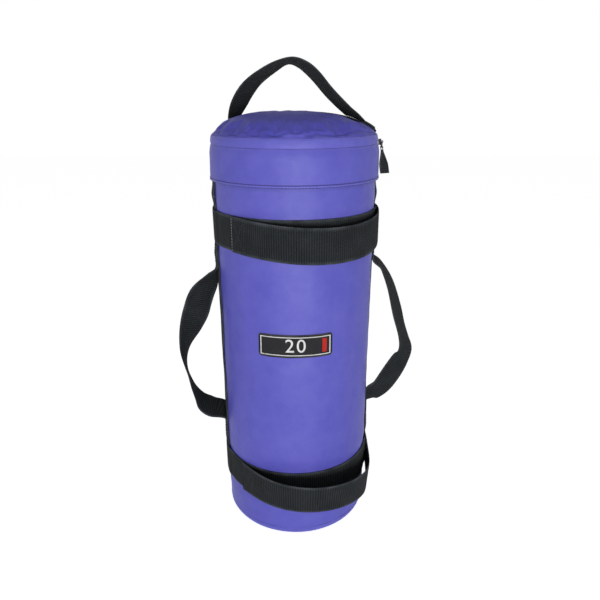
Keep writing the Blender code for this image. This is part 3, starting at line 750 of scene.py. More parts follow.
radii = [SKIN_RIM * i / 12 for i in range(13)]
lens = [(r, dome_z(r * RIM_RADIUS / SKIN_RIM * 0.995)) for r in radii]
lens += [(r, SKIN_Z - 0.006) for r in reversed(radii[:-1])]
skin = turned("lid_skin", lens, 96)
skin.data.remesh_voxel_size = 0.0030
alone(skin)
bpy.ops.object.voxel_remesh()
start = [v.co.copy() for v in skin.data.vertices]
sewn = skin.vertex_groups.new(name="sewn")
for vertex in skin.data.vertices:
    radius = math.hypot(vertex.co.x, vertex.co.y)
    top_side = vertex.co.z > SKIN_Z - 0.0015
    if not top_side or radius > SKIN_RIM - 0.0035:
        hold = 1.0
    else:
        hold = 0.9 * (1 - smooth((off_strap(vertex.co) - 0.017) / 0.010))
        vertex.co.z += gather(vertex.co) * (1 - hold)
    sewn.add([vertex.index], hold, "REPLACE")

cloth = skin.modifiers.new("cloth", "CLOTH")
for name, value in CLOTH.items():
    setattr(cloth.settings, name, value)
cloth.settings.effector_weights.gravity = 0
cloth.point_cache.frame_start, cloth.point_cache.frame_end = 1, FRAMES
for frame_number in range(1, FRAMES + 1):
    bpy.context.scene.frame_set(frame_number)
blown = skin.evaluated_get(bpy.context.evaluated_depsgraph_get())
moved = [v.co.copy() for v in blown.data.vertices]
skin.modifiers.remove(cloth)
bpy.context.scene.frame_set(1)
for vertex, old, new in zip(skin.data.vertices, start, moved):
    step = new - old
    vertex.co = old + (step if step.length < CAP else step * (CAP / step.length))
print("cloth moved by up to", round(max((b - a).length for a, b in zip(start, moved)) * 1000, 1), "mm")

apply(skin, "SUBSURF", levels=1, render_levels=1)
with editing(skin):
    bpy.ops.mesh.bisect(plane_co=(0, 0, SKIN_Z - 0.0016), plane_no=(0, 0, 1), clear_inner=True)
apply(skin, "SOLIDIFY", thickness=SKIN_THICK, offset=-1.0)
# Painted highlight: the skin is painted paler, in patches, towards its rim, where it turns down over the
# shoulder.
wear_and_painted_light_by(skin, lambda p: 0.45 * smooth((math.hypot(p.x, p.y) - 0.103) / 0.006) * (0.6 + lump(p, 0.012, 5.0)))
done(skin, "purple_vinyl", "fold", "lid_front", "lid_flap", look="matt_lid_vinyl")

# %% Lid strip and its foam
FOOT_FRONT, FOOT_FLAP = 0.5553, 0.5570
PARTING_Y, PARTING = -0.0200, 0.0005
PAD_EDGE, PAD_BOTTOM, PAD_ROUND = 0.1046, 0.5576, 0.001
PAD_BELOW, PAD_SHOULDER = 0.0032, 0.0025
outline = [(0.1108, FOOT_FRONT), (0.1110, 0.5580), (0.1109, 0.5610), (0.1105, 0.5640), (0.1099, 0.5660),
           (0.1091, 0.5668), (0.1084, 0.5660), (0.1076, 0.5652), (0.1058, 0.5650), (0.1050, 0.5646),
           (0.1058, 0.5642), (0.1080, 0.5643), (0.1090, 0.5636), (0.1094, 0.5610), (0.1094, 0.5580),
           (0.1093, FOOT_FRONT)]


def strip_lie(p):
    """The strip's foot is higher behind the parting, where the zip is."""
    foot = FOOT_FRONT + (FOOT_FLAP - FOOT_FRONT) * smooth((p.y - PARTING_Y + PARTING) / 0.001)
    out = 0.00035 * lump(p, 0.014, 8.0) * smooth((p.z - 0.556) / 0.003)
    return moved_out(Vector((p.x, p.y, max(p.z, foot))), out)


rim = turned("lid_strip", outline, 260)
settle(rim, strip_lie)
# Painted highlight: the strip is painted a little paler all over, and more towards its top edge.
wear_and_painted_light_by(rim, lambda p: 0.5 * smooth((p.z - 0.5645) / 0.0015) + 0.2)
done(rim, "purple_vinyl", "fold")

across_pad = [PAD_EDGE * i / 8 for i in range(9)]
crown = [(r, dome_z(r) - PAD_BELOW - PAD_SHOULDER * smooth((r - 0.070) / 0.030)) for r in across_pad]
underside = [(PAD_EDGE, PAD_BOTTOM + PAD_ROUND), (PAD_EDGE - PAD_ROUND, PAD_BOTTOM), (0.05, PAD_BOTTOM),
             (0.0, PAD_BOTTOM)]
for name, side, body in (("lid_front_foam", -1, "bag"), ("lid_flap_foam", 1, "lid")):
    pad = turned(name + "_pad", crown + underside, 96)
    with editing(pad):
        bpy.ops.mesh.bisect(plane_co=(0, PARTING_Y + PARTING * side, 0), plane_no=(0, side, 0),
                            clear_inner=True, use_fill=True)
        faces_out()
    done(pad, "grey_foam", body, name)

# %% [markdown]
# ## The zip
#
# The zip runs round the back, from one end of the sewn front to the other. Each half is a woven tape
# with a nylon coil along its edge. The tapes are strips laid round the bag. A coil is one small turn of
# nylon, repeated along the edge by an Array modifier and bent round by a Curve modifier, the way such
# a row of equal things is made by hand.

# %% Tapes
ZIP_START, ZIP_END = 80.5, 279.5
TAPE_RADIUS, TAPE = 0.1064, 0.0006
COIL_RADIUS, COIL_PITCH = 0.1083, 0.0009
COIL_TURN, COIL_WIRE = 0.00052, 0.00020
arc = math.radians(ZIP_END - ZIP_START) * TAPE_RADIUS


def tape_place(low, high):
    def place(u, v, w):
        heading = ZIP_START + (ZIP_END - ZIP_START) * u
        return polar(TAPE_RADIUS + TAPE * w, heading, low + (high - low) * v)
    return place


for name, low, high, body in (("zip_tape_lower", 0.5420, 0.5553, "bag"),
                              ("zip_tape_upper", 0.5557, 0.5640, "fold")):
    tape = strip(name + "_cloth", tape_place(low, high), arc, high - low, step=0.0020, count=3, deep=0.0)
    done(tape, "black_zip_tape", body, name)


# %% Rows of equal things along a line
def along_line(name, one, points, pitch, closed=False):
    """Repeats a small piece, which lies along X from the origin, along a line of points."""
    data = bpy.data.curves.new(name + "_line", "CURVE")
    data.dimensions = "3D"
    line = data.splines.new("POLY")
    line.points.add(len(points) - 1)
    line.points.foreach_set("co", [number for p in points for number in (*p, 1.0)])
    line.use_cyclic_u = closed
    route = bpy.data.objects.new(name + "_line", data)
    bpy.context.collection.objects.link(route)
    ends = points + points[:1] if closed else points
    length = sum((b - a).length for a, b in zip(ends, ends[1:]))
    count = max(1, round(length / pitch))
    piece = copy_of(one, name)
    apply(piece, "ARRAY", count=count, use_relative_offset=False, use_constant_offset=True,
          constant_offset_displace=(length / count, 0, 0))
    apply(piece, "CURVE", object=route, deform_axis="POS_X")
    bpy.data.objects.remove(route)
    return piece


coil_turn = ring("coil_turn", COIL_TURN, COIL_WIRE, 10, 5)
coil_turn.data.transform(Matrix.Translation((COIL_PITCH / 3, 0, 0)) @ LENGTHWISE)
headings = [ZIP_START + (ZIP_END - ZIP_START) * i / 120 for i in range(121)]
for name, z, body in (("zip_coil_lower", 0.5546, "bag"), ("zip_coil_upper", 0.5564, "fold")):
    coil = along_line(name + "_turns", coil_turn, [polar(COIL_RADIUS, h, z) for h in headings], COIL_PITCH)
    done(coil, "black_nylon", body, name)
bpy.data.objects.remove(coil_turn)

# %% [markdown]
# ## The slider and its pull
#
# The slider is a small plated casting with a loop on its face. A wire link hangs in the loop, and a
# folded tab of webbing hangs in the link, so that a hand can find it. The body starts as a cube, the
# slot that the teeth run through is pushed in round its sides, and its edges are rounded. The link is
# a torus pressed into a rounded rectangle.

# %% Slider
PARK, SLIDER_Z = 87.0, 0.5562
SLIDER_INNER, SLIDER_SIZE = 0.1120, Vector((0.0085, 0.0030, 0.0088))
SLIDER_TAPER, SLIDER_CROWN = 0.22, 0.0003
SLOT_HALF, SLOT_SIDES = 0.0006, 0.82
EYE_RADIUS, EYE_WIRE = 0.0018, 0.0005
out, along = polar(1, PARK, 0), polar(1, PARK + 90, 0)
face = SLIDER_INNER + SLIDER_SIZE.y


def small_box(name, size):
    made = added(bpy.ops.mesh.primitive_cube_add, name, size=1.0)
    made.data.transform(Matrix.Diagonal((*size, 1.0)))
    return made


def set_round(piece, radius, heading, z):
    """Puts a small piece at its place round the bag, facing out."""
    turn = Matrix.Rotation(math.radians(heading), 4, "Z")
    piece.data.transform(Matrix.Translation(polar(radius, heading, z)) @ turn)


def slider_shape(p):
    """Narrower towards the closed end, with a slot for the teeth round the middle of its thickness."""
    sides = SLOT_SIDES if abs(p.y) < SLOT_HALF else 1.0
    taper = 1 - SLIDER_TAPER * smooth(p.x / SLIDER_SIZE.x + 0.5)
    crown = SLIDER_CROWN * (1 - (2 * p.z / SLIDER_SIZE.z) ** 2) if p.y > 0.0013 else 0.0
    return Vector((p.x * sides, p.y + crown, p.z * taper * sides))


slider = small_box("slider_body", SLIDER_SIZE)
with editing(slider):
    bpy.ops.mesh.subdivide(number_cuts=4)
settle(slider, slider_shape)
apply(slider, "BEVEL", width=0.0004, segments=2, limit_method="ANGLE", angle_limit=math.radians(40))
set_round(slider, SLIDER_INNER + SLIDER_SIZE.y / 2, PARK, SLIDER_Z)
eye = ring("slider_eye", EYE_RADIUS, EYE_WIRE, 28, 10)
eye.data.transform(LENGTHWISE)
set_round(eye, face + EYE_RADIUS * 0.62, PARK, SLIDER_Z)
done(joined(slider, eye), "dark_metal", "slider", "zip_slider", angle=40)

# %% Link and tab
LINK_WIRE, LINK_SIZE, LINK_SQUARE, RING_WIRE = 0.0007, (0.0120, 0.0072), 0.32, 0.1
pivot = polar(face + EYE_RADIUS * 0.78, PARK, SLIDER_Z)
bar = pivot - Vector((0, 0, LINK_SIZE[1]))
FOLD_SHARE, TAB_LAYER, TAB_LENGTH = 0.16, 0.0010, 0.0340
TAB_TURN, TAB_LEAN = 59.0, 0.0055
TAB_TOP, TAB_FULL = 0.007, 0.014


def link_shape(p):
    """A ring pressed into a rounded rectangle that hangs from its upper bar."""
    turn = math.atan2(p.y, p.x)
    on_ring = Vector((math.cos(turn), math.sin(turn), 0))
    thick = (p - on_ring) / RING_WIRE * LINK_WIRE
    pressed = [math.copysign(abs(part) ** LINK_SQUARE, part) for part in on_ring]
    flat = Vector((pressed[0] * LINK_SIZE[0] / 2, pressed[1] * LINK_SIZE[1] / 2, 0)) + thick
    return pivot + along * flat.x + Vector((0, 0, flat.y - LINK_SIZE[1] / 2)) + out * flat.z


def tab_place(u, v, w):
    """A strip folded over the link's lower bar. Its two layers lie together and turn as they hang."""
    span = (u - 0.5) * 2
    reach = LINK_WIRE + GAP
    if abs(span) <= FOLD_SHARE:
        bend = span / FOLD_SHARE * math.pi / 2
        reach += TAB_LAYER * w
        stand, rise, down = reach * math.sin(bend), reach * math.cos(bend), 0.0
    else:
        down = (abs(span) - FOLD_SHARE) / (1 - FOLD_SHARE)
        close = 1 - min(down * 6, 1.0) * (1 - GAP * 0.7 / reach)
        stand = math.copysign(reach * close + TAB_LAYER * w, span)
        rise = -TAB_LENGTH * down
    turn = math.radians(TAB_TURN) * math.sin(min(down * 1.2, 1.0) * math.pi / 2)
    front = out * math.cos(turn) - along * math.sin(turn)
    aside = along * math.cos(turn) + out * math.sin(turn)
    width = TAB_TOP + (TAB_FULL - TAB_TOP) * min(down * 1.6, 1.0)
    return bar + Vector((0, 0, rise)) + out * TAB_LEAN * down + front * stand + aside * (v - 0.5) * width


link = ring("pull_link", 1.0, RING_WIRE, 64, 10)
settle(link, link_shape)
done(link, "dark_metal", "pull", "zip_pull_link")
tab = strip("pull_tab", tab_place, 0.080, TAB_FULL, count=4, deep=0.08)
done(tab, "black_webbing", "pull", "zip_puller")

# %% End stops
STOP_SIZE, STOP_RADIUS, STOP_Z = (0.0035, 0.0012, 0.0013), 0.10995, 0.55595
for name, heading in (("zip_stop_right", ZIP_START + 1.5), ("zip_stop_left", ZIP_END - 1.5)):
    stop = small_box(name + "_clip", STOP_SIZE)
    apply(stop, "BEVEL", width=0.0003, segments=3)
    set_round(stop, STOP_RADIUS, heading, STOP_Z)
    done(stop, "dark_metal", "bag", name)

# %% [markdown]
# ## The bands
#
# Two bands of webbing are sewn round the bag. They hold the wall in, and they step out over the straps
# that run down each side. A band is a strip whose two ends meet, so its first and last points are
# merged before it gets its thickness.

# %% Bands
CLEAR, SLOPE = 17.5, 5.0


def over_side_strap(heading):
    """How far a band is lifted where it crosses a side strap, from 0 to 1."""
    away = min(abs((heading - middle + 180) % 360 - 180) for middle in SIDE_HEADINGS.values())
    return smooth((CLEAR - away) / SLOPE)


for name, band_top in BAND_TOPS.items():
    def band_place(u, v, w, band_top=band_top):
        heading = 360 * u
        z = band_top - BAND_WIDTH * (1 - v)
        lift = (WEB + GAP) * over_side_strap(heading)
        return polar(tube_radius(z) + GAP + lift + WEB * w, heading, z)

    around = math.tau * tube_radius(band_top)
    band = strip(name + "_band_webbing", band_place, around, BAND_WIDTH, count=4, closed=True)
    done(band, "black_webbing", "bag", name + "_band")

# %% [markdown]
# ## The side straps and their carry loops
#
# A strap runs down each side, flat on the vinyl, and a second one is sewn over it at two places, so
# that the length between stands out as a loop. The loops have been carried, so each one twists as it
# hangs. A route gives the line, as points in an upright plane with the turn of the strap at each, and
# a smooth curve through them. The ends are laid flat on the side strap, and the middle stands free.

# %% A strap along a route
class Route:
    """A smooth line through keys of (out, height, twist) in an upright plane, in mm and degrees."""

    def __init__(self, origin, direction, keys, steps=12):
        self.out = Vector((direction[0], direction[1], 0.0)).normalized()
        normal = self.out.cross(Vector((0, 0, 1)))
        self.normal = normal if normal.y > 0 else -normal
        last = len(keys) - 1
        dense = []
        for i in range(last):
            a, b, c, d = (Vector(keys[min(max(j, 0), last)]) for j in range(i - 1, i + 3))
            for t in (step / steps for step in range(steps)):
                dense.append(b + (c - a) * t / 2 + (2 * a - 5 * b + 4 * c - d) * t**2 / 2
                             + (3 * b - 3 * c + d - a) * t**3 / 2)
        dense.append(Vector(keys[-1]))
        self.points = [Vector(origin) + self.out * (k.x / 1000) + Vector((0, 0, k.y / 1000)) for k in dense]
        self.twists = [math.radians(k.z) for k in dense]
        count = len(dense)
        self.runs = [(self.points[min(i + 2, count - 1)] - self.points[max(i - 2, 0)]).normalized()
                     for i in range(count)]
        self.lengths = [0.0]
        for one, two in zip(self.points, self.points[1:]):
            self.lengths.append(self.lengths[-1] + (two - one).length)

    @property
    def length(self):
        return self.lengths[-1]

    def at(self, distance):
        """Point, width direction and face direction at a distance along the line."""
        low = min(bisect_right(self.lengths, distance) - 1, len(self.lengths) - 2)
        share = (distance - self.lengths[low]) / (self.lengths[low + 1] - self.lengths[low])
        point = self.points[low].lerp(self.points[low + 1], share)
        twist = self.twists[low] + (self.twists[low + 1] - self.twists[low]) * share
        run = self.runs[low].lerp(self.runs[low + 1], share).normalized()
        width = self.normal * math.cos(twist) + run.cross(self.normal) * math.sin(twist)
        return point, width, run.cross(width).normalized()

    def strap(self, settle_place=lambda point, w: point):
        def place(u, v, w):
            point, across, face = self.at(self.length * u)
            return settle_place(point + across * HANDLE_WIDTH * (v - 0.5) + face * WEB * (w - 0.5), w)
        return place


# %% Side straps
SIDE_TOP, SIDE_BOTTOM = 0.5300, 0.0680
LOOSE, LOOSE_Z, LOOSE_TALL = 0.0014, 0.4900, 0.009


def strap_back(heading, z):
    """Radius of the back of a side strap. Between the collar and the upper band it stands off a little."""
    loose = LOOSE * bell((z - LOOSE_Z) / LOOSE_TALL)
    return tube_radius(z) + soft(heading, z) * (1 - band_hold(z)) + GAP + loose


for side, middle in SIDE_HEADINGS.items():
    half = math.degrees(HANDLE_WIDTH / 2 / tube_radius(SIDE_TOP))

    def side_place(u, v, w, middle=middle, half=half):
        z = SIDE_BOTTOM + (SIDE_TOP - SIDE_BOTTOM) * u
        heading = middle - half + 2 * half * v
        return polar(strap_back(heading, z) + WEB * w, heading, z)

    flat = strip(f"side_strap_{side}_webbing", side_place, SIDE_TOP - SIDE_BOTTOM, HANDLE_WIDTH, count=4)
    done(flat, "black_webbing", "bag", f"side_strap_{side}")

# %% Side loops
SIDE_LOOPS = {
    "left": ((111.5, 423, 0), (111.5, 404, 0), (113, 391, 4), (121, 374, 30), (134, 351, 62), (142, 326, 80),
             (151, 301, 59), (160, 272, 26), (162, 250, 5), (160, 230, -5), (156, 212, -2), (150, 195, 4),
             (142, 180, 18), (130, 171, 26), (117, 165, 17), (110, 153, 3), (109, 140, 0), (109, 119, 0)),
    "right": ((111.5, 423, 0), (111.5, 406, 0), (115, 394, 4), (127, 380, 16), (142, 350, 28),
              (154, 310, 35), (163, 278, 33), (168, 257, 40), (169, 241, 58), (162, 226, 70),
              (152, 208, 76), (139, 188, 74), (127, 175, 66), (117, 166, 48), (110, 153, 12),
              (109, 140, 0), (109, 119, 0)),
}
SEWN_TO, FREE_OVER, FOOT_GAP = 0.1120, 0.010, 0.0001


def sewn_down(side):
    """Lays the ends of a side loop round the bag, on the side strap that they are sewn to."""
    middle = SIDE_HEADINGS[side]
    outwards, sideways = polar(1, middle, 0), polar(1, middle + 90, 0)

    def laid(point, w):
        reach, aside = point.dot(outwards), point.dot(sideways)
        held = 1 - smooth((reach - SEWN_TO) / FREE_OVER)
        if held <= 0:
            return point
        heading = middle + math.degrees(aside / reach)
        back = strap_back(heading, point.z) + WEB + FOOT_GAP
        snug = polar(back + WEB * (w if w_is_out[side] else 1 - w), heading, point.z)
        return point.lerp(snug, held)
    return laid


w_is_out, loops = {}, {}
for side, middle in SIDE_HEADINGS.items():
    route = Route((0, 0, 0), polar(1, middle, 0), SIDE_LOOPS[side])
    plain = route.strap()
    w_is_out[side] = (plain(0.0, 0.5, 1.0) - plain(0.0, 0.5, 0.0)).dot(polar(1, middle, 0)) > 0
    laid = route.strap(sewn_down(side))
    loop = strip(f"carry_loop_{side}", laid, route.length, HANDLE_WIDTH, count=5)
    done(loop, "black_webbing", None)
    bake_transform(loop)
    strap = f"side_handle_{side}"
    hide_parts(strap, f"{strap}_upper_foot", f"{strap}_lower_foot")
    loops[side] = (laid, route.length)
    print(side, "loop", round(route.length * 1000), "mm of webbing")

# %% [markdown]
# ## The hand grips
#
# Each band carries a second strap that is sewn down at both ends and stands away between them, so
# that four fingers fit behind it. It sags, its top edge leans out, and it stands off furthest right of
# the middle. Its curve is one formula of the heading, the same for both grips with other amounts. The
# lower grip also droops at its right end, where its lower edge comes back to the bag before the upper.

# %% Grips
GRIPS = {
    "upper": {"off": 0.0085, "sag": 0.0084, "lean": 1.0, "peak": 0.45, "sag_peak": 0.51, "ease": 1.58,
              "droop": 0.0, "tuck": 0.0},
    "lower": {"off": 0.0220, "sag": 0.0125, "lean": 9.8, "peak": 0.45, "sag_peak": 0.75, "ease": 1.88,
              "droop": 0.0095, "tuck": 0.55},
}
DROOP_PEAK = 0.86
TUCK_FROM, TUCK_OVER = 0.70, 0.18
GRIP_FROM, GRIP_TO = -45.0, 98.0
GRIP_MIDDLE, GRIP_RADIUS = 19.5, 0.118


def swell(share, peak, ease):
    """0 at both ends of a strap and 1 at its peak, for a share of the way along it."""
    bend = math.log(0.5) / math.log(peak)
    return max(math.sin(math.pi * min(max(share, 0.0), 1.0) ** bend), 0.0) ** ease


def grip_place(name):
    grip, band_top = GRIPS[name], BAND_TOPS[name]

    def place(u, v, w):
        heading = GRIP_FROM + (GRIP_TO - GRIP_FROM) * u
        swollen = swell(u, grip["peak"], grip["ease"])
        lean = math.radians(grip["lean"]) * swollen
        sag = grip["sag"] * swell(u, grip["sag_peak"], grip["ease"])
        sag += grip["droop"] * swell(u, DROOP_PEAK, grip["ease"])
        z = band_top - BAND_WIDTH - sag + BAND_WIDTH * math.cos(lean) * v
        wall = tube_radius(band_top - BAND_WIDTH / 2) + 2 * (GAP + WEB) + GAP
        tucked = grip["tuck"] * smooth((u - TUCK_FROM) / TUCK_OVER) * (1 - v)
        off = grip["off"] * swollen * (1 - tucked)
        return polar(wall + off + BAND_WIDTH * math.sin(lean) * v + WEB * w, heading, z)
    return place


ahead = polar(1, GRIP_MIDDLE, 0)
long = math.radians(GRIP_TO - GRIP_FROM) * GRIP_RADIUS
for name in GRIPS:
    hold = strip(f"{name}_grip_webbing", grip_place(name), long, BAND_WIDTH, count=5, deep=0.20)
    done(hold, "black_webbing", None)
    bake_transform(hold)
    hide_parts(f"{name}_grip", f"{name}_grip_left_foot", f"{name}_grip_right_foot")

# %% [markdown]
# ## The carry loop on the lid
#
# One strap is sewn flat across the lid, a little out of square, and the carry loop stands on it.
# Webbing this stiff holds itself up in an arch, higher on its left, and twists the same way all along.
# Its ends are sewn down on the flat strap, and kept on top of it.

# %% Lid strap and carry loop
LID_LIFT, LID_ROOM, OVERHANG = 0.0008, 0.0005, 0.006
chord = FEET[1] - FEET[0]
aside = Vector((-chord.y, chord.x, 0)).normalized()


def on_lid(u, v, w):
    """The strap runs a little past both feet, and stays inside the rim."""
    at = FEET[0] + chord * (-OVERHANG + (1 + 2 * OVERHANG) * u) + aside * HANDLE_WIDTH * (v - 0.5)
    radius = math.hypot(at.x, at.y)
    room = RIM_RADIUS - LID_ROOM
    if radius > room:
        at *= room / radius
        radius = room
    slope = (dome_z(radius) - dome_z(radius - GAP)) / GAP
    normal = (Vector((0, 0, 1)) - at.normalized() * slope).normalized()
    return Vector((at.x, at.y, dome_z(radius))) + normal * (LID_LIFT + WEB * w)


sewn_strap = strip("lid_strap", on_lid, chord.length, HANDLE_WIDTH, count=8)
done(sewn_strap, "black_webbing", "fold", "top_handle_base")

TOP_LOOP = ((-1, 568, 0), (9, 577, 11), (22, 586, 21), (35, 595, 25), (59, 617, 28), (78, 638, 29),
            (91, 649, 26), (105, 656, 18), (121, 657, 7), (139, 649, 11), (161, 635, 15), (175, 621, 19),
            (186, 604, 18), (193, 589, 9), (196, 577, 0))


def above_lid(point, w):
    """Keeps the loop's ends on top of the strap that is sewn across the lid."""
    flat = Vector((point.x, point.y))
    reach = min(flat.length, RIM_RADIUS - LID_ROOM)
    flat = flat.normalized() * reach
    lowest = dome_z(reach) + LID_LIFT + WEB + 4 * GAP + WEB * (1 - w)
    return Vector((flat.x, flat.y, max(point.z, lowest)))


route = Route(FEET[0], chord, TOP_LOOP)
arch = strip("lid_carry_loop", route.strap(above_lid), route.length, HANDLE_WIDTH, count=6)
done(arch, "black_webbing", None)
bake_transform(arch)
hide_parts("top_handle", "top_handle_left_foot", "top_handle_right_foot")
print("carry loop", round(route.length * 1000), "mm of webbing")

# %% [markdown]
# ## Stitching
#
# Everything on the bag is sewn, and the thread shows on the hem and on each sewn end. One stitch is a
# small ball drawn out long, and the helper for equal things repeats it along a line. On the straps the
# stitches follow the strap's own shape: a box with a cross in it, asked of the same functions that
# placed the webbing.

# %% One stitch, and the hem
STITCH, STITCH_RADIUS, STITCH_PITCH = 0.0030, 0.00030, 0.0042
HEM_PROUD, BOX_PROUD = 0.0001, 0.00025

stitch = added(bpy.ops.mesh.primitive_uv_sphere_add, "stitch", segments=6, ring_count=6, radius=1.0)
stitch.data.transform(Matrix.Translation((STITCH / 2, 0, 0))
                      @ Matrix.Diagonal((STITCH / 2, STITCH_RADIUS, STITCH_RADIUS, 1)) @ LENGTHWISE)
for name, z, radius in (("hem_stitches_low", HEM_LOW + 0.0006, hem - 0.0002),
                        ("hem_stitches_high", HEM_GROOVE, wall)):
    round_hem = [moved_out(collar_lie(polar(radius, 1.5 * i, z)), HEM_PROUD) for i in range(240)]
    row = along_line(name, stitch, round_hem, STITCH_PITCH, closed=True)
    done(row, "black_webbing", "bag", look="dark_thread")

# %% Boxes of stitches on the sewn ends
BOX_INSET, BOX_NEAR, BOX_FAR = 0.0035, 0.002, 0.026


def sewn_box(name, place, side, start, end, width):
    """A box with a cross in it, on one face of a strap."""
    low, high = BOX_INSET / width, 1 - BOX_INSET / width
    corners = [(start, low), (end, low), (end, high), (start, high)]
    lines = list(zip(corners, corners[1:] + corners[:1])) + [corners[0::2], corners[1::2]]
    rows = []
    for index, (one, two) in enumerate(lines):
        points = []
        for i in range(13):
            u, v = (a + (b - a) * (i / 12) for a, b in zip(one, two))
            surface = place(u, v, side)
            points.append(surface + (surface - place(u, v, 0.5)).normalized() * BOX_PROUD)
        rows.append(along_line(f"{name}_{index}", stitch, points, STITCH_PITCH))
    box = joined(*rows)
    box.name = name
    done(box, "black_webbing", "bag", look="dark_thread")


for side, (place, long) in loops.items():
    outer = 1.0 if w_is_out[side] else 0.0
    near, far = BOX_NEAR / long, BOX_FAR / long
    sewn_box(f"loop_{side}_upper_stitches", place, outer, near, far, HANDLE_WIDTH)
    sewn_box(f"loop_{side}_lower_stitches", place, outer, 1 - far, 1 - near, HANDLE_WIDTH)

for name in GRIPS:
    sewn_box(f"{name}_grip_left_stitches", grip_place(name), 1.0, 0.012, 0.085, BAND_WIDTH)
    sewn_box(f"{name}_grip_right_stitches", grip_place(name), 1.0, 0.93, 0.988, BAND_WIDTH)

sewn_end = grip_place("upper")
line = [sewn_end(0.006, 0.03 + 0.94 * i / 12, 1.0) + polar(0.0002, GRIP_FROM, 0) for i in range(13)]
end_row = along_line("upper_grip_end_stitches", stitch, line, 0.0036)
done(end_row, "black_webbing", "bag", look="pale_thread")
bpy.data.objects.remove(stitch)

# %% [markdown]
# ## The patch
#
# A woven patch is sewn on the front. This one is generic: a plain weight, 20, in a thin border, with a
# red stripe at one end. The patch is a strip laid on the tube with rounded corners, and the border, the
# stripe and the figures are thin raised shapes, bent round the tube in the same way.

# %% Patch
LABEL_WIDTH, LABEL_HEIGHT, LABEL_Z, LABEL_THICK = 0.100, 0.032, 0.305, 0.0008
CORNER, BORDER_INSET, BORDER_LINE = 0.004, 0.0030, 0.0014
STRIPE_X, STRIPE_HALF, STRIPE_INSET = 0.0385, 0.0030, 0.0065
FIGURES, FIGURES_SIZE, FIGURES_APART = "20", 0.026, 1.15


def on_patch(x, y, lift):
    """A place on the patch: x along it and y up it from its middle, in metres."""
    z = LABEL_Z + y
    heading = math.degrees(x / tube_radius(LABEL_Z))
    return polar(tube_radius(z) + soft(heading, z) + GAP + lift, heading, z)


def patch_place(u, v, w):
    x, y = LABEL_WIDTH * (u - 0.5), LABEL_HEIGHT * (v - 0.5)
    edge = max(0.0, abs(x) - (LABEL_WIDTH / 2 - CORNER))
    y *= 1 - (CORNER - math.sqrt(max(CORNER**2 - edge**2, 0.0))) / (LABEL_HEIGHT / 2)
    return on_patch(x, y, LABEL_THICK * w)


def flat_grid(name, half_width, half_height, cells_across, middle=0.0):
    piece = added(bpy.ops.mesh.primitive_grid_add, name, x_subdivisions=cells_across, y_subdivisions=24,
                  size=2.0)
    size = Matrix.Diagonal((half_width, half_height, 1, 1))
    piece.data.transform(Matrix.Translation((middle, 0, 0)) @ size)
    return piece


def raised(piece, thick, look):
    """Lays a thin flat piece, drawn in x and y, onto the patch, and lets it stand out from it."""
    settle(piece, lambda p: on_patch(p.x, p.y, LABEL_THICK + (thick if p.z > 0 else -0.0001)))
    done(piece, "woven_patch", "bag", look=look, angle=35)


patch = strip("patch_cloth", patch_place, LABEL_WIDTH, LABEL_HEIGHT, step=0.0008, count=10, deep=0.0)
done(patch, "woven_patch", "bag", "label_patch")

figures = added(bpy.ops.object.text_add, "patch_figures")
figures.data.body = FIGURES
figures.data.size = FIGURES_SIZE
figures.data.align_x, figures.data.align_y = "CENTER", "CENTER"
figures.data.extrude = 0.0002
figures.data.space_character = FIGURES_APART
bpy.ops.object.convert(target="MESH")
apply(figures, "REMESH", mode="SHARP", octree_depth=7, scale=0.95, use_remove_disconnected=False)
raised(figures, 0.0004, "white_threads")

# %% Border and stripe
half_width, half_height = LABEL_WIDTH / 2 - BORDER_INSET, LABEL_HEIGHT / 2 - BORDER_INSET
border = flat_grid("patch_border", half_width, half_height, 70)
sheet = bmesh.new()
sheet.from_mesh(border.data)
middle = [face for face in sheet.faces if abs(face.calc_center_median().x) < half_width - BORDER_LINE
          and abs(face.calc_center_median().y) < half_height - BORDER_LINE]
bmesh.ops.delete(sheet, geom=middle, context="FACES")
sheet.to_mesh(border.data)
sheet.free()
stripe = flat_grid("patch_stripe", STRIPE_HALF, LABEL_HEIGHT / 2 - STRIPE_INSET, 6, STRIPE_X)
for piece, look in ((border, "white_threads"), (stripe, "red_threads")):
    apply(piece, "SOLIDIFY", thickness=0.0002, offset=1.0)
    raised(piece, 0.0003, look)

# %% [markdown]
# ## What is inside
#
# With the lid open, the bag shows its foam liner and the topmost of four sand pouches. Each pouch is a
# canvas bag gathered at its neck and tied. One is turned, its neck pleated by moving points in and
# out, and copied with a mesh of its own for each of the four. The cord round each neck is a torus with
# a twist in it.

# %% Foam
FOAM_INNER, FOAM_TOP, FOAM_FOOT, FOAM_BACK = 0.0975, 0.5510, 0.0195, 0.0013
outer = [(min(tube_radius(z) - VINYL, TAPE_RADIUS) - FOAM_BACK, z)
         for z in (FOAM_FOOT, 0.10, 0.20, 0.31, 0.40, 0.48, 0.53, FOAM_TOP - 0.003)]
top_edge = [(0.1035, FOAM_TOP - 0.0008), (0.1018, FOAM_TOP), (0.0995, FOAM_TOP),
            (0.0980, FOAM_TOP - 0.0009)]
inner = [(FOAM_INNER, z) for z in (FOAM_TOP - 0.003, 0.50, 0.40, 0.28, 0.15, FOAM_FOOT)]
liner = turned("foam_liner", outer + top_edge + inner, 120)
done(liner, "grey_foam", "bag", "foam_wall")

FOAM_FLOOR = 0.0172
disc_corner = [(r, z) for r, z in base_outline(VINYL + 0.0012) if z < 0.0150]
floor_pad = turned("foam_floor", disc_corner + [(0.1005, FOAM_FLOOR - 0.001), (0.0995, FOAM_FLOOR),
                                                (0.05, FOAM_FLOOR), (0.0, FOAM_FLOOR)], 120)
done(floor_pad, "grey_foam", "bag", "foam_base")

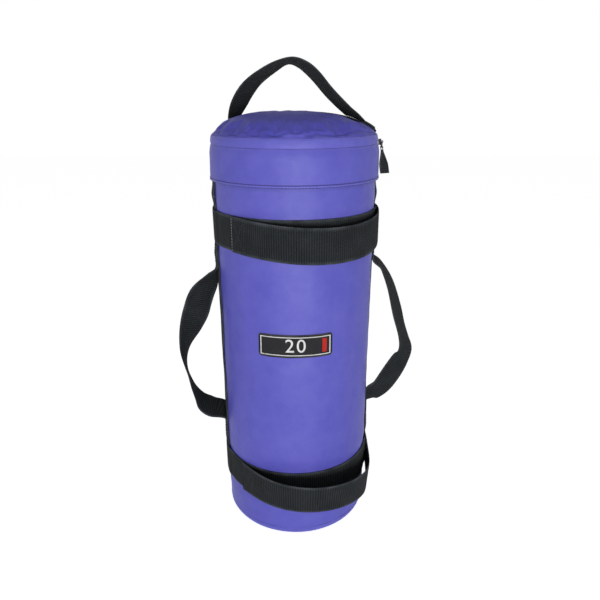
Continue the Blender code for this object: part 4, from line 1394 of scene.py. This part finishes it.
# %% Sand pouches
POUCH_PITCH, POUCH_RADIUS, NECK_Z = 0.1330, 0.0960, 0.1160
NECK, MOUTH, CANVAS = 0.0150, 0.0190, 0.0009
PLEATS, PLEAT_DEEP, PLEAT_AT_NECK, SIDE_UNEVEN = 17, 0.0020, 0.0007, 0.0006
POUCH_FLOORS = [FOAM_FLOOR + GAP + POUCH_PITCH * index for index in range(4)]
body_line = [(0.0, 0.0), (0.045, 0.0), (0.080, 0.0004), (0.088, 0.0015), (0.0935, 0.0055), (0.0955, 0.0110)]
body_line += [(POUCH_RADIUS - 0.0004 - 0.0006 * math.sin(i), 0.011 + i * 0.0118) for i in range(1, 8)]
body_line += [(0.0945, 0.0985), (0.0900, 0.1025), (0.0780, 0.1058), (0.0600, 0.1092), (0.0400, 0.1128),
              (0.0240, 0.1152), (NECK + 0.0015, NECK_Z), (NECK, NECK_Z + 0.0040),
              (NECK + 0.0008, NECK_Z + 0.0090), (MOUTH, POUCH_PITCH - 4 * GAP)]
rises = [CANVAS if z < 0.02 else -CANVAS if z < 0.1155 and r > 0.02 else 0.0 for r, z in body_line]
wall_in = [(max(r - CANVAS, 0.0), z + rise) for (r, z), rise in zip(body_line, rises)]


def pleats(p):
    """Folds that run in to the neck, and a soft uneven side."""
    radius, heading = math.hypot(p.x, p.y), heading_of(p)
    rise = smooth((p.z - 0.094) / 0.012)
    turn = math.radians(heading)
    deep = PLEAT_DEEP * rise * math.sin(PLEATS * turn + 1.2 * math.sin(3 * turn)) * min(1.0, radius / 0.03)
    at_neck = PLEAT_AT_NECK * smooth((p.z - 0.114) / 0.004) * math.sin(PLEATS * turn)
    side = SIDE_UNEVEN * lump(p, 0.03, 1.5) * (1 - rise) * smooth(p.z / 0.01)
    return Vector((p.x, p.y, p.z + deep * (radius > 0.02))) + polar(at_neck + min(side, 0.0), heading, 0)


def stacked(piece, name, height):
    """Four copies, one for each pouch, at a height above the pouch's floor. The first piece goes."""
    for index, pouch_floor in enumerate(POUCH_FLOORS, 1):
        copy = copy_of(piece, f"{name}_{index}")
        copy.data.transform(Matrix.Translation((0, 0, pouch_floor + height)))
        yield index, copy
    bpy.data.objects.remove(piece)


pouch = turned("pouch", body_line + wall_in[::-1], 136)
settle(pouch, pleats)
for loop, uv in zip(pouch.data.loops, (pouch.data.uv_layers.active or pouch.data.uv_layers.new()).data):
    p = pouch.data.vertices[loop.vertex_index].co
    uv.uv = (math.radians(heading_of(p)) * 0.09, p.z + 0.09 - math.hypot(p.x, p.y))
for index, copy in stacked(pouch, "canvas_pouch", 0.0):
    done(copy, "grey_canvas", "bag", f"sand_pouch_{index}", angle=60)

# %% Ties, and the sand
TIE_RADIUS, TIE_CORD, TIE_ABOVE = 0.0194, 0.0017, 0.0052
STRANDS, TWISTS = 3, 24


def twisted(p):
    """Three strands laid round each other, in a ring."""
    turn = math.atan2(p.y, p.x)
    middle = Vector((math.cos(turn), math.sin(turn), 0)) * TIE_RADIUS
    spoke = p - middle
    around_cord = math.atan2(spoke.z, math.hypot(p.x, p.y) - TIE_RADIUS)
    return middle + spoke * (0.90 + 0.10 * math.cos(STRANDS * around_cord + TWISTS * turn))


tie = ring("tie", TIE_RADIUS, TIE_CORD, 96, 12)
settle(tie, twisted)
for index, copy in stacked(tie, "tie_cord", NECK_Z + TIE_ABOVE):
    done(copy, "black_webbing", "bag", f"pouch_tie_{index}")
    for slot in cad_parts[f"sand_fill_{index}"].material_slots:
        slot.material = FINISH["sand"]
